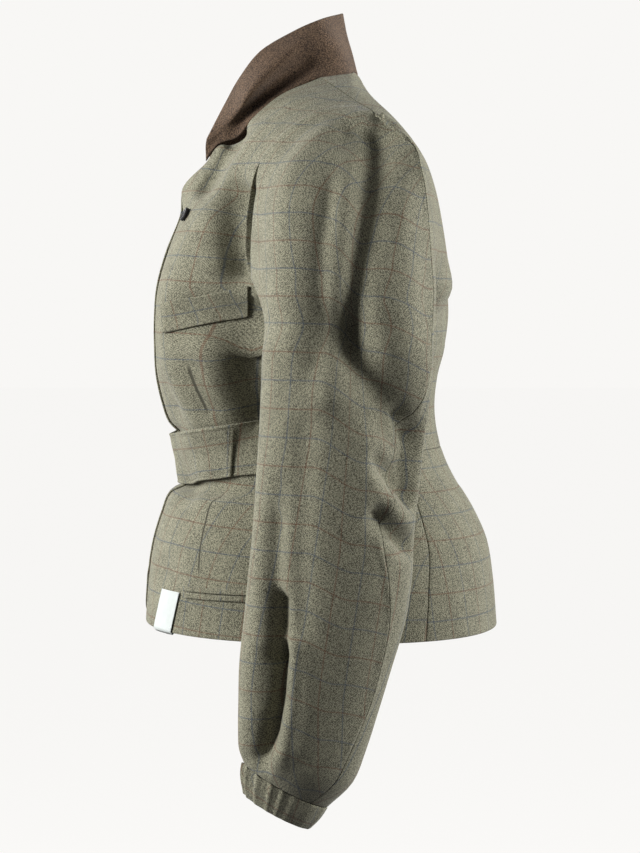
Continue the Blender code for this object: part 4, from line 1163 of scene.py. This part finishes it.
def belts(front, cloth, thread):
    """The inner belt on the wearer's left, and the outer one from the right across it."""
    start = front_angle(BODY[WAIST_ROW], BELT_START_X)
    inner = belt_grid(front, start, BELT_BACK_ANGLE)
    left = belt_piece("belt_under", "belt_left", inner, (0.0, 9.0), np.zeros(inner.shape[:2]), cloth, thread)
    right = belt_grid(front, -90, BELT_BACK_ANGLE)[:, ::-1] * (-1, 1, 1)
    outer = np.concatenate([right, belt_grid(front, -90, BELT_TIP_ANGLE)[:, 1:]], axis=1)
    x = outer[..., 0]
    over_edge = smooth_step(x, -OVERLAP - OVERLAP_RAMP, -OVERLAP) * (1 - smooth_step(x, *OVER_EDGE_END))
    over_belt = smooth_step(x, OVER_BELT_START, BELT_START_X - 4)
    lift = OVERLAP_LIFT * over_edge + (BELT_WALL + BELT_CLEARANCE) * over_belt
    return left, belt_piece("belt_over", "belt_right", outer, (4.0, 9.0), lift, cloth, thread)


def hem_tag(front, white):
    """A short bare tape folded round the hem: down the outside, under the edge and up inside."""
    outside = patch(front, TAG, (0.0, 0.0))
    share_normals([outside])
    across = TAG.across * FINE + 1
    face = outside.verts.reshape(-1, across, 3)
    out = outside.normals.reshape(-1, across, 3)
    skin = face + out * LAY_GAP
    under = face[-1:] - out[-1:] * (WALL / 2) + (0, 0, -LAY_GAP - TAG.drop)
    inside = (face - out * (WALL + LAY_GAP))[::-1]
    grid = np.concatenate([skin, under, inside])
    tape = Sheet([grid], [plain_cloth(grid)])
    share_normals([tape])
    return add_piece("hem_tape", wall("hem_tape", tape, TAG.wall, TAG.wall), white, "white_tape", TAG.name)


# The button's rings from its underside to its dish: shares of its radius and of its thickness.
BUTTON_PROFILE = ((0.85, 0.0), (1.0, 0.15), (1.0, 0.55), (0.97, 0.8), (0.9, 0.95), (0.8, 1.0), (0.7, 0.93),
                  (0.6, 0.75), (0.3, 0.7))
BUTTON_FINE_SIDES = 48
EYELET = 1.7                             # from the button's middle to each of its four holes, both ways
THREAD_RISE = 0.25                       # from the dish to the middle of the thread


def dished_disc(name, place, out, aside):
    """The button's disc on a spot of the cloth, and the middle of its dish."""
    up = np.cross(out, aside)
    radius = BUTTON_DIAMETER / 2
    n, rings = BUTTON_FINE_SIDES, len(BUTTON_PROFILE)
    turns = np.arange(n) * 2 * math.pi / n
    points = [place + out * BUTTON_GAP]
    for size, rise in BUTTON_PROFILE:
        middle = place + out * (BUTTON_GAP + BUTTON_THICKNESS * rise)
        points += [middle + radius * size * (aside * math.cos(t) + up * math.sin(t)) for t in turns]
    points.append(place + out * (BUTTON_GAP + BUTTON_THICKNESS * BUTTON_PROFILE[-1][1]))
    faces = [(0, 1 + (k + 1) % n, 1 + k) for k in range(n)]
    for r in range(rings - 1):
        for k in range(n):
            a, b = 1 + r * n + k, 1 + r * n + (k + 1) % n
            faces.append((a, b, b + n, a + n))
    last = 1 + (rings - 1) * n
    faces += [(last + k, last + (k + 1) % n, last + n) for k in range(n)]
    return plain_mesh(name, points, faces), points[-1]


def button(panel, horn, thread):
    """A dished button with a rounded rim, sewn on with a cross of thread."""
    place, out = surface_hit(panel, (0, *BUTTON_PLACE), (1, 0, 0))
    aside = np.cross((0, 0, 1), out)
    aside /= np.linalg.norm(aside)
    up = np.cross(out, aside)
    disc, dish = dished_disc("horn_button", place, out, aside)
    disc.shade_smooth()
    add_piece("horn_button", disc, horn, "dark_horn", "button")
    top = dish + out * THREAD_RISE
    arms = [top + (aside * a + up * b) * EYELET for a, b in ((-1, -1), (1, 1), (1, -1), (-1, 1))]
    rows = [(np.array(arms[i:i + 2]), np.array([out, out])) for i in (0, 2)]
    cross = stitches("button_thread", rows, long=4.2, gap=0.2, thick=0.4)
    add_piece("button_thread", cross, thread, "dark_horn")


# Deeper and finer creases than the solids have, from the photograph.
SLEEVE_CREASES = [
    Fold("dark under the crest", ((26, -52), (16, -95), (4, -150), (-2, -215), (-8, -268)), 10, 1.5),
    Fold("heart of the back hollow", ((50, -71), (42, -128), (32, -180), (25, -242)), 9, 3),
    Fold("drag above elbow", ((70, -318), (84, -340), (98, -362)), 8, 9),
    Fold("drag at elbow", ((52, -358), (66, -378), (86, -398)), 7, 11),
    Fold("drag below elbow", ((50, -404), (64, -420), (80, -438)), 7, 9),
    Fold("overarm seam", ((98, -272), (91, -305), (73, -375), (60, -405), (51, -428), (57, -453), (63, -482),
                          (57, -525), (45, -574), (22, -621)), 2.5, -1.2),
    Fold("forearm trough", ((-36, -380), (-40, -450), (-40, -505)), 9, 4),
]
WRIST_CREASES = [
    Fold("wrist fold", ((-34, -480), (-35, -532), (-38, -567), (-44, -600), (-53, -622), (-61, -645),
                        (-66, -662)), 6, 13),
    Fold("beside the wrist fold", ((-48, -535), (-54, -600), (-62, -640)), 10, 8),
    Fold("gather at the cuff", ((-66, -628), (-72, -655)), 3.5, 4),
    Fold("second gather at the cuff", ((-47, -632), (-55, -662)), 3.5, 4),
]
FRONT_CREASES = [
    Fold("underarm hollow", ((-66, -268), (-62, -295), (-54, -325)), 22, 24),
    Fold("beside the armhole", ((-80, -116), (-82, -138), (-82, -160), (-78, -186)), 14, 20),
    Fold("belt dimple", ((-150, -468), (-148, -482)), 10, 3),
    Fold("upper dart", ((-124, -277), (-119, -300), (-110, -322)), 7, 5),
    Fold("pull over the belt", ((-142, -318), (-132, -338)), 7, 4),
    Fold("belt pucker", ((-122, -388), (-128, -398)), 7, 5),
    Fold("pucker beside it", ((-92, -388), (-100, -402)), 6, 3),
]
ARMHOLE_CREASES = [
    Fold("armhole valley", ((-72, -104), (-77, -130), (-78, -160), (-72, -190)), 20, 10),
]
ROLL_CREASES = [
    Fold("roll from the collar", ((-78, -50), (-86, -66), (-98, -86), (-108, -102), (-114, -114)), 6, 9),
]
COLLAR_CREASES = [
    Fold("neck hollow", ((-15, 13), (-29, 0), (-57, -25), (-78, -47), (-92, -70)), 9, 5),
    Fold("bulge", ((-28, 24), (-42, 10), (-62, -12), (-92, -52)), 7, -3),
    Fold("dark above the bulge", ((-50, 38), (-30, 48)), 9, 3),
    Fold("end of the collar", ((-96, -56), (-88, -49), (-78, -41)), 8, 4),
]

# In the order that they are pressed: the folds, the side, and how they fade where that isn't the usual
# way. The wrist's run on where the cloth turns under, and the collar's roll where it turns forwards.
Press = namedtuple("Press", "folds side fade turn", defaults=(WRIST_FADE, FACING))
BACK_PRESSES = [Press(SLEEVE_FOLDS, 1), Press(SLEEVE_CREASES, 1)]
FRONT_PRESSES = [
    Press(SLEEVE_FOLDS, 1),
    Press(FRONT_FOLDS, -1),
    Press(SLEEVE_CREASES, 1),
    Press(FRONT_CREASES, -1),
    Press(ARMHOLE_CREASES, 0),
    Press(ROLL_CREASES, 0, turn=(-0.3, 0.05)),
    Press(WRIST_CREASES, 1, (1.0, 14.0), (-0.5, -0.1)),
]

DARTS = (((-92, -401), (-115, -481)), ((-126, -278), (-106, -330)))   # their seams on the front, (y, z)
RIGHT_SHIFT = CHECK_ACROSS * 2 / 5
# Where each laid piece's first corner falls on the flat cloth.
LAY_PLACES = {"chest_welt": (3.0, 36.0), "hip_jet_upper": (0.0, 8.0), "hip_jet_lower": (0.0, 14.0)}

# Light, camera and stage, in metres.
CAMERA_TARGET = (0.0, 0.0, -0.3426)
CAMERA_DISTANCE, CAMERA_ELEVATION, CAMERA_LENS = 2.2, 3.15, 92.01
SENSOR = 36.0
BACKDROP = (0.939, 0.930, 0.913)
AMBIENT = 0.10                           # how much of the backdrop's brightness reaches the cloth
FLOOR_Z = -1.42                          # the ground below a wearer's shoulders
FLOOR_HALF = 30.0
FLOOR_GREY, FLOOR_GLOW = (0.04, 0.04, 0.04, 1.0), 0.985
Lamp = namedtuple("Lamp", "name place target size power")
LAMPS = [
    Lamp("front_left", (0.75, -2.1, 0.25), (0.1, 0.0, -0.4), 1.0, 88.0),
    Lamp("back_left", (0.65, 2.2, 0.35), (0.1, 0.0, -0.4), 1.0, 68.0),
    Lamp("front_right", (-1.4, -2.0, 0.4), (0.0, 0.0, -0.3), 1.2, 52.0),
    Lamp("back_right", (-1.2, 2.2, 0.4), (0.0, 0.0, -0.3), 1.2, 52.0),
    Lamp("top", (0.6, 0.0, 2.1), (0.0, 0.0, -0.3), 1.2, 8.5),
]


def look_at(obj, place, target):
    obj.location = place
    obj.rotation_euler = (Vector(target) - Vector(place)).to_track_quat("-Z", "Y").to_euler()


def camera(scene):
    """The camera at the photograph's angle."""
    lens = bpy.data.cameras.new("camera")
    lens.lens, lens.sensor_width, lens.clip_end = CAMERA_LENS, SENSOR, 100.0
    obj = bpy.data.objects.new("camera", lens)
    rise = math.radians(CAMERA_ELEVATION)
    away = Vector((math.cos(rise), 0.0, math.sin(rise))) * CAMERA_DISTANCE
    look_at(obj, Vector(CAMERA_TARGET) + away, CAMERA_TARGET)
    scene.collection.objects.link(obj)
    scene.camera = obj


def lamps(scene):
    """Soft round lamps on both sides and one above."""
    for lamp in LAMPS:
        data = bpy.data.lights.new(lamp.name, "AREA")
        data.shape, data.size, data.energy = "DISK", lamp.size, lamp.power
        obj = bpy.data.objects.new(lamp.name, data)
        look_at(obj, Vector(lamp.place), lamp.target)
        scene.collection.objects.link(obj)


def backdrop(scene):
    """A plain pale backdrop that is seen in full, but lights the cloth less."""
    world = bpy.data.worlds.new("backdrop")
    world.use_nodes = True
    tree = world.node_tree
    shader = tree.nodes["Background"]
    shader.inputs["Color"].default_value = (*BACKDROP, 1.0)
    seen = tree.nodes.new("ShaderNodeLightPath")
    strength = tree.nodes.new("ShaderNodeMapRange")
    strength.inputs["To Min"].default_value = AMBIENT
    tree.links.new(seen.outputs["Is Camera Ray"], strength.inputs["Value"])
    tree.links.new(strength.outputs["Result"], shader.inputs["Strength"])
    scene.world = world


def floor(scene):
    """A plain pale floor, which doesn't light the cloth."""
    mesh = bpy.data.meshes.new("floor")
    corners = [(x * FLOOR_HALF, y * FLOOR_HALF, FLOOR_Z) for x, y in ((-1, -1), (1, -1), (1, 1), (-1, 1))]
    mesh.from_pydata(corners, [], [(0, 1, 2, 3)])
    obj = bpy.data.objects.new("floor", mesh)
    paint = bpy.data.materials.new("pale_floor")
    paint.use_nodes = True
    shader = paint.node_tree.nodes["Principled BSDF"]
    shader.inputs["Base Color"].default_value = FLOOR_GREY
    shader.inputs["Specular IOR Level"].default_value = 0.0
    shader.inputs["Emission Color"].default_value = (*BACKDROP, 1.0)
    shader.inputs["Emission Strength"].default_value = FLOOR_GLOW
    mesh.materials.append(paint)
    scene.collection.objects.link(obj)
    obj.visible_diffuse = False


def studio():
    scene = bpy.context.scene
    camera(scene)
    lamps(scene)
    backdrop(scene)
    scene.view_settings.view_transform = "Standard"
    floor(scene)


# A record of what a sheet was cut to, in metres, its flat area in square metres, and what it hangs from; no
# sheet is given one here.
Cut = namedtuple("Cut", "node width length area held rests")


def panels():
    """The left front and back and the back peplum, pressed, and the grids that the collar is sewn to."""
    front_parts, back_parts = front_grids(), back_grids()
    front = Sheet(front_parts, front_cloth(*front_parts))
    back = Sheet(back_parts, back_cloth(*back_parts), flip=True)
    peplum = peplum_sheet()
    share_normals([front, back, peplum, front.mirrored(), back.mirrored()])
    for panel, presses in ((front, FRONT_PRESSES), (back, BACK_PRESSES)):
        for press in presses:
            panel.press(*press)
    share_normals([front, back, peplum, front.mirrored(), back.mirrored()])
    return front, back, peplum, (front_parts[0], back_parts[0])


def add_panels(front, back, peplum, cloth):
    """The panels and cuffs on both sides, by the names of their solids."""
    sheets = {}
    # the fronts' cloth, with painted shade along the sunk lines of its dart seams
    wool_with_painted_dart_shade = olive_wool("olive_wool_darts_painted_shade", [[cloth_place(front, end) for end in dart] for dart in DARTS])
    right = over_front(front.mirrored())
    right.cloth = [[(across + RIGHT_SHIFT, down) for across, down in corners] for corners in right.cloth]
    for node, sheet in (("front_left", front), ("front_right", right)):
        sheets[node] = add_sheet(node, sheet, wool_with_painted_dart_shade)
    cuff = cuff_sheet()
    for side, pieces in (("left", (back, cuff)), ("right", (back.mirrored(), cuff.mirrored()))):
        for kind, sheet in zip(("back_", "cuff_"), pieces):
            if sheet.normals is None:
                share_normals([sheet])
            sheets[kind + side] = add_sheet(kind + side, sheet, cloth)
    sheets["back_peplum"] = add_sheet("back_peplum", peplum, cloth)
    return sheets


def add_collar(edges, brown):
    collar = collar_sheet(*edges)
    share_normals([collar])
    collar.press(COLLAR_CREASES, 0)
    share_normals([collar])
    return add_sheet("collar", collar, brown, thick=COLLAR_WALL, kind="felt", slot="brown_wool")


def add_lays(front, cloth):
    """The welts and jets, laid on both fronts, by the names of their solids."""
    sheets = {}
    for lay in FRONT_LAYS:
        left = patch(front, lay, LAY_PLACES[lay.name])
        for side, sheet in (("left", left), ("right", left.mirrored())):
            share_normals([sheet])
            node = f"{lay.name}_{side}"
            sheets[node] = add_sheet(node, sheet, cloth, LAY_GAP + lay.wall, lay.wall)
    return sheets


def main():
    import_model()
    studio()
    cloth, brown, white = olive_wool("olive_wool"), brown_wool(), white_tape()
    horn, thread, black = dark_horn(), sewing_thread(), black_thread()

    front, back, peplum, neck = panels()
    sheets = add_panels(front, back, peplum, cloth)
    sheets["collar"] = add_collar(neck, brown)
    sheets["belt_left"], sheets["belt_right"] = belts(front, cloth, thread)
    sheets.update(add_lays(front, cloth))
    sheets[TAG.name] = hem_tag(front, white)
    button(front, horn, black)


main()
